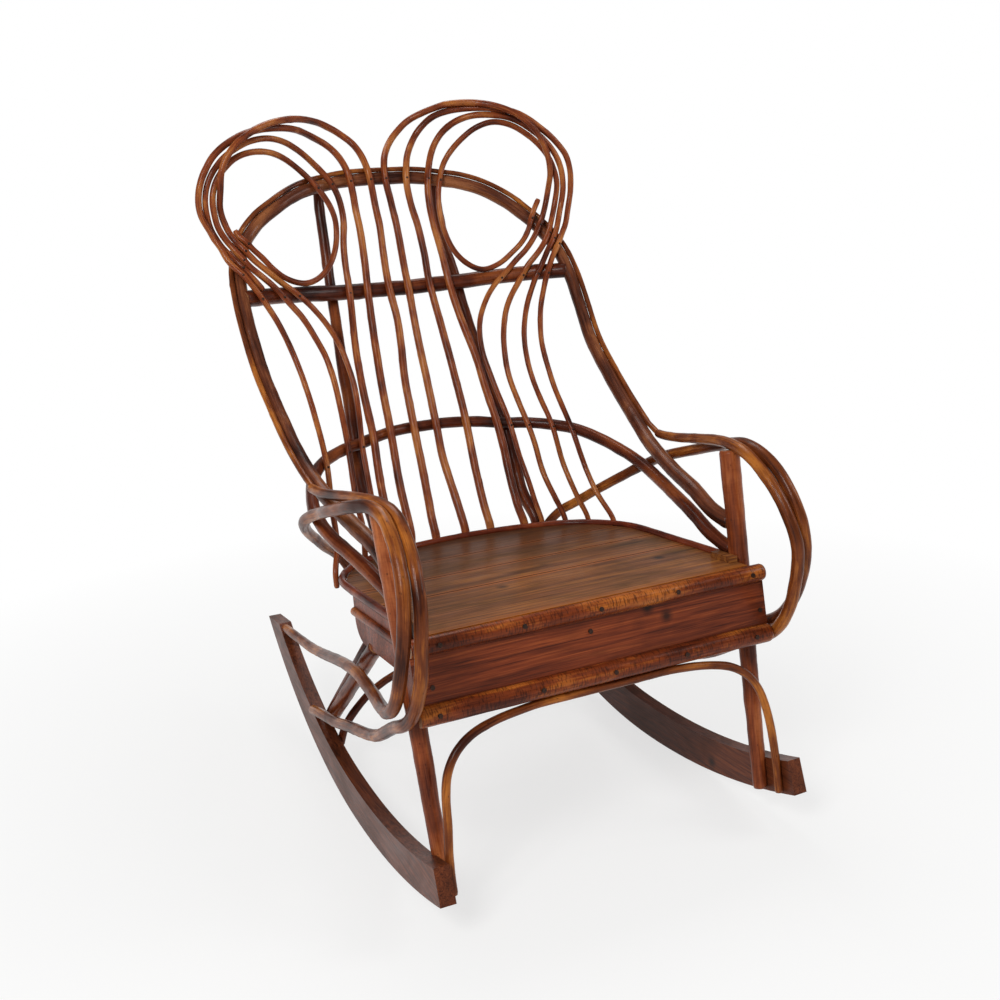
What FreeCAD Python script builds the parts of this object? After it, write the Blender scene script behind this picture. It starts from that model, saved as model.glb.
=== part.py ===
import FreeCAD, Part
import math
import os

from FreeCAD import Placement, Rotation, Vector

# Hickory rocking chair: bark-on twigs steamed, bent and nailed to two sawn
# runners and a boarded seat. The two back corners carry ears of four thin rods.
# The chair faces -Y, +X is the sitter's left hand side seen from the front,
# the floor is z = 0 and the origin lies under the middle of the chair.

os.makedirs("parts", exist_ok=True)
doc = FreeCAD.newDocument("HickoryRocker")
sheet = doc.addObject("Spreadsheet::Sheet", "Sizes")

SIZES = [
    ("layout_depth", "1000", "box that the twig routes are laid out in, front to back"),
    ("layout_height", "1000", "the same box, upwards"),
    ("twig_clearance", "0.35", "gap between two twigs nailed over each other"),
    ("joint_clearance", "0.2", "gap between boards that lie on each other"),
    ("runner_thickness", "22", "runner board across"),
    ("runner_height", "58", "runner board from lower to upper edge, from the rest to the rear"),
    ("runner_nose_height", "50", "the same board at its front end"),
    ("runner_front_radius", "1130", "lower edge of the runner, front half"),
    ("runner_rear_radius", "800", "lower edge of the runner, rear half"),
    ("runner_front_sweep", "19.42", "degrees of the front arc"),
    ("runner_rear_sweep", "37.75", "degrees of the rear arc"),
    ("runner_end_cut", "4.5", "degrees by which the upper edge stops short at the rear"),
    ("runner_toe", "1.5", "degrees by which the runners close to the rear"),
    ("post_foot_diameter", "21", "front post at the runner"),
    ("post_top_diameter", "30", "front post under the arm"),
    ("rear_leg_diameter", "23", "rear leg"),
    ("rear_strut_diameter", "13", "thin strut beside the rear leg"),
    ("rear_hoop_diameter", "13", "arched twig between the rear legs"),
    ("front_hoop_diameter", "11.5", "arched twig between the front posts"),
    ("bow_diameter", "21", "outer bow of the back"),
    ("mid_bow_diameter", "19", "bow round the back at the height of the arms"),
    ("crossbar_diameter", "23", "bar across the back"),
    ("upright_diameter", "20", "thick upright of the back"),
    ("twig_diameter", "8.5", "thin twig along the outer bow"),
    ("arm_diameter", "17", "twigs of the arms"),
    ("rod_diameter", "11.2", "rods of the ears"),
    ("rim_diameter", "12", "twig round the back edge of the seat"),
    ("seat_thickness", "13", "seat boards"),
    ("seat_half_width", "248", "middle of the seat to its side edge"),
    ("seat_length", "454.1", "front edge to the middle of the rear edge"),
    ("seat_corner_radius", "150", "rear corners of the seat"),
    ("seat_rear_radius", "441", "rear edge of the seat"),
    ("seat_tilt", "4.3", "degrees by which the seat falls to the rear"),
    ("seat_gap", "1.2", "joint between two seat boards"),
    ("apron_thickness", "26", "board under the front of the seat"),
    ("apron_height", "96", "the same board, upright"),
    ("apron_end", "22.5", "the same board and its rails, beyond each side of the seat"),
    ("upper_rail_radius", "12.5", "half round rail at the upper edge"),
    ("lower_rail_radius", "14", "half round rail at the lower edge"),
    ("side_apron_thickness", "16", "board under each side of the seat"),
    ("side_apron_height", "66", "the same board, upright"),
    ("side_apron_length", "230", "the same board, front to back"),
    ("side_apron_corner", "34", "its rounded lower rear corner"),
    ("side_rail_radius", "7", "half round rail along the side board"),
    ("batten_width", "38", "batten under the seat boards, across"),
    ("batten_thickness", "17", "the same batten, upright"),
    ("batten_length", "405", "the same batten, front to back"),
    ("cleat_length", "46", "small block on the seat at the post"),
    ("cleat_width", "14", "the same block, across"),
    ("cleat_height", "9", "the same block, upright"),
    ("nail_head_diameter", "6.5", "cut nail, head"),
    ("nail_head_height", "1.6", "cut nail, head above the wood"),
]
for row, (alias, value, note) in enumerate(SIZES, start=1):
    sheet.set("A%d" % row, alias)
    sheet.set("B%d" % row, value)
    sheet.setAlias("B%d" % row, alias)
    sheet.set("C%d" % row, note)
doc.recompute()


def size(alias):
    return float(sheet.get(alias))


# The routes keep the seat's side edge at this share of the layout's width.
SEAT_SIDE_SHARE = 0.248
WIDTH = size("seat_half_width") / SEAT_SIDE_SHARE
DEPTH = size("layout_depth")
HEIGHT = size("layout_height")
TWIG_GAP = size("twig_clearance")
GAP = size("joint_clearance")

# Counts and shares that the drawing of a twig follows.
SAMPLES_PER_SPAN = 6
SETTLE_PASSES = 7
SETTLE_ROUNDS = 16
RIM_SAMPLES = 90
ARC_SHARE = 0.45
CHORD_ERROR_SHARE = 0.00035
BLEND_SHARE = 0.085
LEAST_SLANT_SHARE = 0.45


def at(x_share, y_share, z_share):
    return Vector(x_share * WIDTH, y_share * DEPTH, z_share * HEIGHT)


def route(shares):
    return [at(*share) for share in shares]


def mirrored(points):
    return [Vector(-p.x, p.y, p.z) for p in points]


def smooth(points):
    """Points along the curve that passes through the given ones."""
    dense = []
    last = len(points) - 1
    for i in range(last):
        p0 = points[max(i - 1, 0)]
        p1 = points[i]
        p2 = points[i + 1]
        p3 = points[min(i + 2, last)]
        k0 = max((p1 - p0).Length, (p2 - p1).Length / 2) ** 0.5
        k1 = (p2 - p1).Length ** 0.5
        k2 = max((p3 - p2).Length, (p2 - p1).Length / 2) ** 0.5
        t0 = -k0
        t1 = 0.0
        t2 = k1
        t3 = k1 + k2
        for j in range(SAMPLES_PER_SPAN):
            t = t2 * j / SAMPLES_PER_SPAN
            a1 = p0 * ((t1 - t) / (t1 - t0)) + p1 * ((t - t0) / (t1 - t0))
            a2 = p1 * ((t2 - t) / (t2 - t1)) + p2 * ((t - t1) / (t2 - t1))
            a3 = p2 * ((t3 - t) / (t3 - t2)) + p3 * ((t - t2) / (t3 - t2))
            b1 = a1 * ((t2 - t) / (t2 - t0)) + a2 * ((t - t0) / (t2 - t0))
            b2 = a2 * ((t3 - t) / (t3 - t1)) + a3 * ((t - t1) / (t3 - t1))
            dense.append(b1 * ((t2 - t) / (t2 - t1)) + b2 * ((t - t1) / (t2 - t1)))
    dense.append(points[last])
    return dense


def nearest(point, start, end):
    """Nearest point of a straight run and its share of the run."""
    run = end - start
    share = (point - start).dot(run) / max(run.dot(run), 1e-9)
    share = min(max(share, 0.0), 1.0)
    return start + run * share, share


def crossings(points, others, view):
    """Where two routes cross when looked at along the view direction."""
    axis = Vector(view).normalize()
    side = axis.cross(Vector(0, 0, 1) if abs(axis.z) < 0.9 else Vector(1, 0, 0)).normalize()
    up = side.cross(axis)
    flat_a = [(p.dot(side), p.dot(up)) for p in points]
    flat_b = [(p.dot(side), p.dot(up)) for p in others]
    found = []
    for i in range(len(points) - 1):
        ax, ay = flat_a[i]
        bx, by = flat_a[i + 1]
        for j in range(len(others) - 1):
            cx, cy = flat_b[j]
            dx, dy = flat_b[j + 1]
            if min(ax, bx) > max(cx, dx) or max(ax, bx) < min(cx, dx):
                continue
            if min(ay, by) > max(cy, dy) or max(ay, by) < min(cy, dy):
                continue
            det = (bx - ax) * (dy - cy) - (by - ay) * (dx - cx)
            if abs(det) < 1e-9:
                continue
            s = ((cx - ax) * (dy - cy) - (cy - ay) * (dx - cx)) / det
            t = ((cx - ax) * (by - ay) - (cy - ay) * (bx - ax)) / det
            if 0 <= s <= 1 and 0 <= t <= 1:
                here = points[i] + (points[i + 1] - points[i]) * s
                there = others[j] + (others[j + 1] - others[j]) * t
                square = (points[i + 1] - points[i]).cross(others[j + 1] - others[j])
                slant = abs(square.dot(axis)) / max(square.Length, 1e-9)
                found.append((i, here, there, max(slant, LEAST_SLANT_SHARE)))
    return found


def lay(points, radius, supports):
    """Lay a twig over others: each support is (points, radius, view, reach).

    The twig ends up on the view side of the support, the two radii and the
    twig clearance apart. It only moves along the view direction, and the bend
    spreads over the blend length.
    """
    blend = BLEND_SHARE * HEIGHT
    points = list(points)
    for turn in range(SETTLE_PASSES):
        for others, other_radius, view, reach in supports:
            axis = Vector(view).normalize()
            for i, here, there, slant in crossings(points, others, view):
                if (here - there).Length > reach:
                    continue
                wanted = (radius + other_radius + TWIG_GAP) / slant
                shift = axis * (wanted - (here - there).dot(axis))
                run = [0.0] * len(points)
                for k in range(i, -1, -1):
                    ahead = here if k == i else points[k + 1]
                    run[k] = (points[k] - ahead).Length + (0 if k == i else run[k + 1])
                for k in range(i + 1, len(points)):
                    behind = here if k == i + 1 else points[k - 1]
                    run[k] = (points[k] - behind).Length + (0 if k == i + 1 else run[k - 1])
                for k in range(len(points)):
                    if run[k] < blend:
                        weight = (1 - (run[k] / blend) ** 2) ** 2
                        points[k] = points[k] + shift * weight
    return points


def push(point, line, want):
    """The way out for a point that is nearer to a line than wanted."""
    best = want
    away = None
    for j in range(len(line) - 1):
        start = line[j]
        if abs(start.x - point.x) > 3 * want or abs(start.z - point.z) > 3 * want:
            continue
        if abs(start.y - point.y) > 3 * want:
            continue
        near, share = nearest(point, start, line[j + 1])
        gap = (point - near).Length
        if gap < best:
            best = gap
            away = point - near
    if away is None:
        return Vector(0, 0, 0)
    return away.normalize() * (want - best)


def even_out(shifts):
    """Spread the shifts of a twig's points over their neighbours."""
    last = len(shifts) - 1
    return [(shifts[max(i - 1, 0)] + shifts[i] * 2 + shifts[min(i + 1, last)]) / 3
            for i in range(last + 1)]


def keep_off(points, radius, others):
    """Push a twig off the others wherever it comes too near to them."""
    points = list(points)
    for turn in range(SETTLE_PASSES):
        for line, other_radius in others:
            want = radius + other_radius + TWIG_GAP
            shifts = even_out([push(point, line, want) for point in points])
            points = [point + shift for point, shift in zip(points, shifts)]
    return points


def settle(rods, radius, fixed):
    """Move rods of one thickness apart and off the fixed twigs."""
    rods = [list(rod) for rod in rods]
    for turn in range(SETTLE_ROUNDS):
        for a in range(len(rods)):
            shifts = [Vector(0, 0, 0)] * len(rods[a])
            for b in range(len(rods)):
                if a != b:
                    want = 2 * radius + TWIG_GAP
                    shifts = [shift + push(point, rods[b], want) * ARC_SHARE
                              for point, shift in zip(rods[a], shifts)]
            shifts = even_out(shifts)
            rods[a] = [point + shift for point, shift in zip(rods[a], shifts)]
        for a in range(len(rods)):
            for line, other_radius in fixed:
                want = radius + other_radius + TWIG_GAP
                shifts = even_out([push(point, line, want) for point in rods[a]])
                rods[a] = [point + shift for point, shift in zip(rods[a], shifts)]
    return rods


def thin_out(points, error):
    """Leave out the points that lie within the error of a straight run."""
    if len(points) < 3:
        return list(points)
    far, index = 0.0, 0
    for i in range(1, len(points) - 1):
        near, share = nearest(points[i], points[0], points[-1])
        gap = (points[i] - near).Length
        if gap > far:
            far, index = gap, i
    if far < error:
        return [points[0], points[-1]]
    return thin_out(points[: index + 1], error)[:-1] + thin_out(points[index:], error)


def wire_of(points):
    """Straight runs joined by tangent arcs, one unbroken wire."""
    points = thin_out(points, CHORD_ERROR_SHARE * HEIGHT)
    edges = []
    start = points[0]
    for i in range(1, len(points) - 1):
        before = points[i] - points[i - 1]
        after = points[i + 1] - points[i]
        turn = before.getAngle(after)
        reach = ARC_SHARE * min(before.Length, after.Length)
        into = points[i] - Vector(before).normalize() * reach
        out = points[i] + Vector(after).normalize() * reach
        if turn > 1e-4:
            radius = reach / math.tan(turn / 2)
            inward = Vector(after).normalize() - Vector(before).normalize()
            inward.normalize()
            centre = points[i] + inward * (radius / math.cos(turn / 2))
            middle = centre - inward * radius
            edges.append(Part.LineSegment(start, into).toShape())
            edges.append(Part.Arc(into, middle, out).toShape())
            start = out
    edges.append(Part.LineSegment(start, points[-1]).toShape())
    return Part.Wire(edges)


NODES = []


def export_as(node, obj):
    obj.Label = node
    NODES.append((node, obj))
    return obj


def twig(node, points, alias, cutters=()):
    """A twig of even thickness swept along its route, trimmed by others."""
    spine = doc.addObject("Part::Feature", node + "_route")
    spine.Shape = wire_of(points)
    ring = doc.addObject("Part::Circle", node + "_section")
    ring.setExpression("Radius", "Sizes.%s / 2" % alias)
    first = spine.Shape.Edges[0]
    along = first.tangentAt(first.FirstParameter)
    start = first.valueAt(first.FirstParameter)
    ring.Placement = Placement(start, Rotation(Vector(0, 0, 1), along))
    sweep = doc.addObject("Part::Sweep", node + "_sweep")
    sweep.Sections = [ring]
    sweep.Spine = (spine, ["Edge%d" % (i + 1) for i in range(len(spine.Shape.Edges))])
    sweep.Solid = True
    sweep.Frenet = False
    return export_as(node, trimmed(node, sweep, cutters))


def trimmed(node, body, cutters):
    for number, cutter in enumerate(cutters):
        cut = doc.addObject("Part::Cut", "%s_trim_%d" % (node, number))
        cut.Base = body
        cut.Tool = cutter
        body = cut
    return body


def straight(node, start, end, alias_start, alias_end):
    """A straight round stick, with a taper if its two ends differ."""
    cone = doc.addObject("Part::Cone", node + "_stick")
    cone.setExpression("Radius1", "Sizes.%s / 2" % alias_start)
    cone.setExpression("Radius2", "Sizes.%s / 2" % alias_end)
    cone.Height = (end - start).Length
    cone.Placement = Placement(start, Rotation(Vector(0, 0, 1), end - start))
    if alias_start == alias_end:
        doc.removeObject(cone.Name)
        cone = doc.addObject("Part::Cylinder", node + "_stick")
        cone.setExpression("Radius", "Sizes.%s / 2" % alias_start)
        cone.Height = (end - start).Length
        cone.Placement = Placement(start, Rotation(Vector(0, 0, 1), end - start))
    return cone


def stick(node, start, end, alias_start, alias_end, cutters=()):
    """A straight stick, trimmed by what it stands on and by what it carries."""
    cone = straight(node, start, end, alias_start, alias_end)
    return export_as(node, trimmed(node, cone, cutters))


# RUNNERS. Each is sawn from a board. Its lower edge is two arcs that meet
# at the resting point. Its upper edge runs along above, nearer at the nose.
RUNNER_REST_SHARE = -0.0568
RUNNER_OUTSIDE_SHARE = 0.276
toe = size("runner_toe")
runner_thickness = size("runner_thickness")
front_radius = size("runner_front_radius")
rear_radius = size("runner_rear_radius")
runner_height = size("runner_height")
nose_height = size("runner_nose_height")


def on_arc(radius, drop, degrees):
    angle = math.radians(degrees)
    inner = radius - drop
    return Vector(inner * math.sin(angle), radius - inner * math.cos(angle), 0)


def origin_plane(body, role):
    for feature in body.Origin.OriginFeatures:
        if feature.Role == role:
            return feature
    raise ValueError(role)


def runner(node, side):
    body = doc.addObject("PartDesign::Body", node)
    sketch = body.newObject("Sketcher::SketchObject", node + "_outline")
    sketch.AttachmentSupport = (origin_plane(body, "XZ_Plane"), [""])
    sketch.MapMode = "FlatFace"
    front = -size("runner_front_sweep")
    rear = size("runner_rear_sweep")
    low_front = on_arc(front_radius, 0, front)
    low_half = on_arc(front_radius, 0, front / 2)
    rest = Vector(0, 0, 0)
    low_back = on_arc(rear_radius, 0, rear / 2)
    low_rear = on_arc(rear_radius, 0, rear)
    short = rear - size("runner_end_cut")
    top_rear = on_arc(rear_radius, runner_height, short)
    top_back = on_arc(rear_radius, runner_height, short / 2)
    top_rest = Vector(0, runner_height, 0)
    top_half = on_arc(front_radius, (runner_height + nose_height) / 2, front / 2)
    top_front = on_arc(front_radius, nose_height, front)
    sketch.addGeometry(Part.Arc(low_front, low_half, rest))
    sketch.addGeometry(Part.Arc(rest, low_back, low_rear))
    sketch.addGeometry(Part.LineSegment(low_rear, top_rear))
    sketch.addGeometry(Part.Arc(top_rear, top_back, top_rest))
    sketch.addGeometry(Part.Arc(top_rest, top_half, top_front))
    sketch.addGeometry(Part.LineSegment(top_front, low_front))
    pad = body.newObject("PartDesign::Pad", node + "_board")
    pad.Profile = sketch
    pad.setExpression("Length", "Sizes.runner_thickness")
    pad.Reversed = True
    body.Tip = pad
    outside = RUNNER_OUTSIDE_SHARE * WIDTH
    inward = math.radians(toe)
    base = Vector(outside, RUNNER_REST_SHARE * DEPTH, 0)
    if side < 0:
        base.x = -(outside - runner_thickness * math.cos(inward))
        base.y = base.y - runner_thickness * math.sin(inward)
    body.Placement = Placement(base, Rotation(Vector(0, 0, 1), 90 + side * toe))
    return export_as(node, body)


def runner_inside(y):
    """Distance of the runner's inner face from the middle of the chair."""
    slope = math.tan(math.radians(toe))
    return (RUNNER_OUTSIDE_SHARE * WIDTH - slope * (y - RUNNER_REST_SHARE * DEPTH)
            - runner_thickness / math.cos(math.radians(toe)))


def runner_top(y):
    back = y - RUNNER_REST_SHARE * DEPTH
    radius = rear_radius if back > 0 else front_radius
    return radius - math.sqrt((radius - runner_height) ** 2 - back ** 2)


runner_right = runner("runner_right", 1)
runner_left = runner("runner_left", -1)
doc.recompute()

# SEAT. Four boards lie across, cut to a D with rounded rear corners.
SEAT_FRONT_SHARES = (0, -0.3396, 0.389)
SEAT_FRONT = at(*SEAT_FRONT_SHARES)
seat_tilt = math.radians(size("seat_tilt"))
seat_thickness = size("seat_thickness")
half_width = size("seat_half_width")
seat_length = size("seat_length")
corner_radius = size("seat_corner_radius")
rear_arc_radius = size("seat_rear_radius")
seat_placement = Placement(SEAT_FRONT, Rotation(Vector(1, 0, 0), -size("seat_tilt")))


def on_seat(x, along, lift):
    return seat_placement.multVec(Vector(x, along, lift))


rear_centre = seat_length - rear_arc_radius
corner_x = half_width - corner_radius
corner_along = rear_centre + math.sqrt((rear_arc_radius - corner_radius) ** 2 - corner_x ** 2)
meet_angle = math.atan2(corner_x, corner_along - rear_centre)


def rear_edge(angle, offset):
    """Point beside the rear edge, by its direction from the middle line."""
    if abs(angle) <= meet_angle:
        radius = rear_arc_radius + offset
        return Vector(radius * math.sin(angle), rear_centre + radius * math.cos(angle), 0)
    hand = 1 if angle > 0 else -1
    radius = corner_radius + offset
    return Vector(hand * corner_x + radius * math.sin(angle),
                  corner_along + radius * math.cos(angle), 0)


def d_shape(offset):
    """Edges of the seat outline, grown by the offset on sides and rear."""
    quarter = math.pi / 2
    half = (quarter + meet_angle) / 2
    left_front = Vector(-half_width - offset, 0, 0)
    right_front = Vector(half_width + offset, 0, 0)
    left_turn = rear_edge(-quarter, offset)
    right_turn = rear_edge(quarter, offset)
    left_meet = rear_edge(-meet_angle, offset)
    right_meet = rear_edge(meet_angle, offset)
    return [
        Part.LineSegment(right_front, right_turn),
        Part.Arc(right_turn, rear_edge(half, offset), right_meet),
        Part.Arc(right_meet, rear_edge(0, offset), left_meet),
        Part.Arc(left_meet, rear_edge(-half, offset), left_turn),
        Part.LineSegment(left_turn, left_front),
        Part.LineSegment(left_front, right_front),
    ]


seat_blank = doc.addObject("PartDesign::Body", "seat_outline")
blank_sketch = seat_blank.newObject("Sketcher::SketchObject", "seat_outline_sketch")
blank_sketch.AttachmentSupport = (origin_plane(seat_blank, "XY_Plane"), [""])
blank_sketch.MapMode = "FlatFace"
for piece in d_shape(0):
    blank_sketch.addGeometry(piece)
blank_pad = seat_blank.newObject("PartDesign::Pad", "seat_outline_pad")
blank_pad.Profile = blank_sketch
blank_pad.setExpression("Length", "Sizes.seat_thickness")
blank_pad.Reversed = True
seat_blank.Tip = blank_pad

SEAM_SHARES = (0.0, 0.36, 0.555, 0.765, 1.0)
seat_boards = []
for number in range(len(SEAM_SHARES) - 1):
    node = "seat_board_%d" % (number + 1)
    plank = doc.addObject("Part::Box", node + "_plank")
    plank.setExpression("Length", "Sizes.seat_half_width * 2")
    first = SEAM_SHARES[number]
    last = SEAM_SHARES[number + 1]
    before = size("seat_gap") / 2 if number else 0
    after = size("seat_gap") / 2 if number < len(SEAM_SHARES) - 2 else 0
    plank.setExpression("Height", "Sizes.seat_thickness")
    plank.Width = (last - first) * seat_length - before - after
    plank.Placement.Base = Vector(-half_width, first * seat_length + before, -seat_thickness)
    board = doc.addObject("Part::Common", node)
    board.Base = plank
    board.Tool = seat_blank
    board.Placement = seat_placement
    export_as(node, board)
    seat_boards.append(board)

# RIM. A twig bent round the rear edge of the seat from post to post.
rim_radius = size("rim_diameter") / 2
RIM_LIFT_SHARE = 0.25
RIM_START_SHARE = 0.1537
rim_out = rim_radius + GAP
rim_lift = RIM_LIFT_SHARE * rim_radius
rim_spine = doc.addObject("Part::Feature", "seat_rim_route")
quarter = math.pi / 2
half = (quarter + meet_angle) / 2
rim_edges = [
    Part.LineSegment(Vector(half_width + rim_out, RIM_START_SHARE * seat_length, 0),
                     rear_edge(quarter, rim_out)),
    Part.Arc(rear_edge(quarter, rim_out), rear_edge(half, rim_out), rear_edge(meet_angle, rim_out)),
    Part.Arc(rear_edge(meet_angle, rim_out), rear_edge(0, rim_out), rear_edge(-meet_angle, rim_out)),
    Part.Arc(rear_edge(-meet_angle, rim_out), rear_edge(-half, rim_out), rear_edge(-quarter, rim_out)),
    Part.LineSegment(rear_edge(-quarter, rim_out),
                     Vector(-half_width - rim_out, RIM_START_SHARE * seat_length, 0)),
]
rim_wire = Part.Wire([edge.toShape() for edge in rim_edges])
rim_wire.translate(Vector(0, 0, rim_lift))
rim_spine.Shape = rim_wire
rim_ring = doc.addObject("Part::Circle", "seat_rim_section")
rim_ring.setExpression("Radius", "Sizes.rim_diameter / 2")
rim_ring.Placement = Placement(
    Vector(half_width + rim_out, RIM_START_SHARE * seat_length, rim_lift),
    Rotation(Vector(0, 0, 1), Vector(0, 1, 0)))
rim = doc.addObject("Part::Sweep", "seat_rim_sweep")
rim.Sections = [rim_ring]
rim.Spine = (rim_spine, ["Edge%d" % (i + 1) for i in range(len(rim_edges))])
rim.Solid = True
rim.Placement = seat_placement
export_as("seat_rim", rim)
rim_route = [seat_placement.multVec(point) for point in rim_wire.discretize(Number=RIM_SAMPLES)]

# FRONT POSTS lean back from the runners to the arms.
POST_FOOT_SHARES = (0.253, -0.368, 0.050)
POST_TOP_SHARES = (0.268, -0.2685, 0.5405)
POST_FOOT = at(*POST_FOOT_SHARES)
POST_TOP = at(*POST_TOP_SHARES)
post_foot_radius = size("post_foot_diameter") / 2
post_top_radius = size("post_top_diameter") / 2
# The bows butt against the posts, so each post's whole round also trims them.
post_rounds = [
    straight("post_round_right", POST_FOOT, POST_TOP, "post_foot_diameter", "post_top_diameter"),
    straight("post_round_left", mirrored([POST_FOOT])[0], mirrored([POST_TOP])[0],
             "post_foot_diameter", "post_top_diameter"),
]


def post_at(z):
    share = (z - POST_FOOT.z) / (POST_TOP.z - POST_FOOT.z)
    centre = POST_FOOT + (POST_TOP - POST_FOOT) * share
    return centre, post_foot_radius + (post_top_radius - post_foot_radius) * share


# APRON. A board on the front of the posts, with a half round rail along
# its upper and its lower edge. It leans back as the posts do.
post_lean = math.degrees(math.atan2(POST_TOP.y - POST_FOOT.y, POST_TOP.z - POST_FOOT.z))
lean = math.radians(post_lean)
lean_up = Vector(0, math.sin(lean), math.cos(lean))
lean_out = Vector(0, -math.cos(lean), math.sin(lean))
apron_thickness = size("apron_thickness")
apron_height = size("apron_height")
apron_length = 2 * (half_width + size("apron_end"))
APRON_SPAN = "2 * (Sizes.seat_half_width + Sizes.apron_end)"
seat_under_z = SEAT_FRONT.z - seat_thickness
centre, radius = post_at(seat_under_z)
apron_back = Vector(0, centre.y, centre.z) + lean_out * (radius + GAP)
corner = apron_back + lean_out * apron_thickness
under = on_seat(0, (corner.y - SEAT_FRONT.y) / math.cos(seat_tilt), -seat_thickness)
apron_top = apron_back - lean_up * ((corner.z - under.z + GAP) / math.cos(lean))
apron_rotation = Rotation(Vector(1, 0, 0), -post_lean)
apron = doc.addObject("Part::Box", "apron_board")
apron.setExpression("Length", APRON_SPAN)
apron.setExpression("Width", "Sizes.apron_thickness")
apron.setExpression("Height", "Sizes.apron_height")
apron_corner = apron_top + lean_out * apron_thickness - lean_up * apron_height
apron.Placement = Placement(apron_corner + Vector(-apron_length / 2, 0, 0), apron_rotation)
export_as("apron_front", apron)


def half_round(node, drop, alias, rotation, corner, out, up, span):
    rail = doc.addObject("Part::Cylinder", node + "_rail")
    rail.setExpression("Radius", "Sizes.%s" % alias)
    rail.setExpression("Height", span)
    rail.Angle = 180
    rail.Placement = Placement(corner - up * drop + out * GAP, rotation)
    return export_as(node, rail)


front_face = apron_top + lean_out * apron_thickness
upper_radius = size("upper_rail_radius")
lower_radius = size("lower_rail_radius")
LOWER_RAIL_DROP_SHARE = 0.915
start = front_face + Vector(-apron_length / 2, 0, 0)


def rail_rotation(along, out):
    side = out.cross(along)
    matrix = FreeCAD.Matrix(
        side.x, out.x, along.x, 0,
        side.y, out.y, along.y, 0,
        side.z, out.z, along.z, 0,
        0, 0, 0, 1)
    return Placement(matrix).Rotation


rail_turn = rail_rotation(Vector(1, 0, 0), lean_out)
half_round("rail_upper", 0, "upper_rail_radius", rail_turn, start, lean_out, lean_up, APRON_SPAN)
half_round("rail_lower", LOWER_RAIL_DROP_SHARE * apron_height, "lower_rail_radius", rail_turn,
           start, lean_out, lean_up, APRON_SPAN)

# NAILS with flat heads hold the rails to the board and the board to the posts.
UPPER_NAIL_SHARES = (-0.431, -0.211, 0.0, 0.224, 0.455)
LOWER_NAIL_SHARES = (-0.455, -0.185, 0.017, 0.226, 0.444)
APRON_NAIL_SHARES = ((-0.455, 0.56), (-0.026, 0.30), (0.481, 0.56))
nail_rotation = Rotation(Vector(0, 0, 1), lean_out)
nail_spots = []
for x_share in UPPER_NAIL_SHARES:
    nail_spots.append((x_share, 0, GAP + upper_radius))
for x_share in LOWER_NAIL_SHARES:
    nail_spots.append((x_share, LOWER_RAIL_DROP_SHARE * apron_height, GAP + lower_radius))
for x_share, drop_share in APRON_NAIL_SHARES:
    nail_spots.append((x_share, drop_share * apron_height, 0))
nail_heads = []
for number, (x_share, drop, stand) in enumerate(nail_spots, start=1):
    head = doc.addObject("Part::Cylinder", "nail_head_%d" % number)
    head.setExpression("Radius", "Sizes.nail_head_diameter / 2")
    head.setExpression("Height", "Sizes.nail_head_height")
    spot = front_face + Vector(x_share * apron_length, 0, 0) - lean_up * drop
    spot = spot + lean_out * (stand + GAP)
    head.Placement = Placement(spot, nail_rotation)
    nail_heads.append(head)
nail_group = doc.addObject("Part::Compound", "nail_heads")
nail_group.Links = nail_heads
export_as("apron_nails", nail_group)

# SIDE BOARDS stand under the seat boards behind the posts.
SIDE_START_SHARE = 0.1245
side_thickness = size("side_apron_thickness")
side_height = size("side_apron_height")
side_length = size("side_apron_length")
side_corner = size("side_apron_corner")


def side_apron(node, side):
    body = doc.addObject("PartDesign::Body", node)
    sketch = body.newObject("Sketcher::SketchObject", node + "_outline")
    sketch.AttachmentSupport = (origin_plane(body, "YZ_Plane"), [""])
    sketch.MapMode = "FlatFace"
    top = -seat_thickness - GAP
    low = top - side_height
    front = SIDE_START_SHARE * seat_length
    rear = front + side_length
    turn = Vector(rear - side_corner, low + side_corner, 0)
    diagonal = side_corner * math.sqrt(0.5)
    a = Vector(front, top, 0)
    b = Vector(rear, top, 0)
    c = Vector(rear, low + side_corner, 0)
    d = Vector(rear - side_corner, low, 0)
    e = Vector(front, low, 0)
    sketch.addGeometry(Part.LineSegment(a, b))
    sketch.addGeometry(Part.LineSegment(b, c))
    sketch.addGeometry(Part.Arc(c, turn + Vector(diagonal, -diagonal, 0), d))
    sketch.addGeometry(Part.LineSegment(d, e))
    sketch.addGeometry(Part.LineSegment(e, a))
    pad = body.newObject("PartDesign::Pad", node + "_board")
    pad.Profile = sketch
    pad.setExpression("Length", "Sizes.side_apron_thickness")
    body.Tip = pad
    inner = half_width - side_thickness
    shift = Vector(inner if side > 0 else -half_width, 0, 0)
    body.Placement = seat_placement.multiply(Placement(shift, Rotation()))
    return export_as(node, body)


side_right = side_apron("side_apron_right", 1)
side_left = side_apron("side_apron_left", -1)

SIDE_RAIL_DROP_SHARE = 0.34
seat_out = seat_placement.Rotation.multVec(Vector(1, 0, 0))
seat_along = seat_placement.Rotation.multVec(Vector(0, 1, 0))
for side, name in ((1, "right"), (-1, "left")):
    out = Vector(side, 0, 0)
    base = on_seat(side * half_width, SIDE_START_SHARE * seat_length,
                   -seat_thickness - GAP - SIDE_RAIL_DROP_SHARE * side_height)
    half_round("side_rail_" + name, 0, "side_rail_radius", rail_rotation(seat_along, out),
               base, out, seat_along, "Sizes.side_apron_length")

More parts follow.
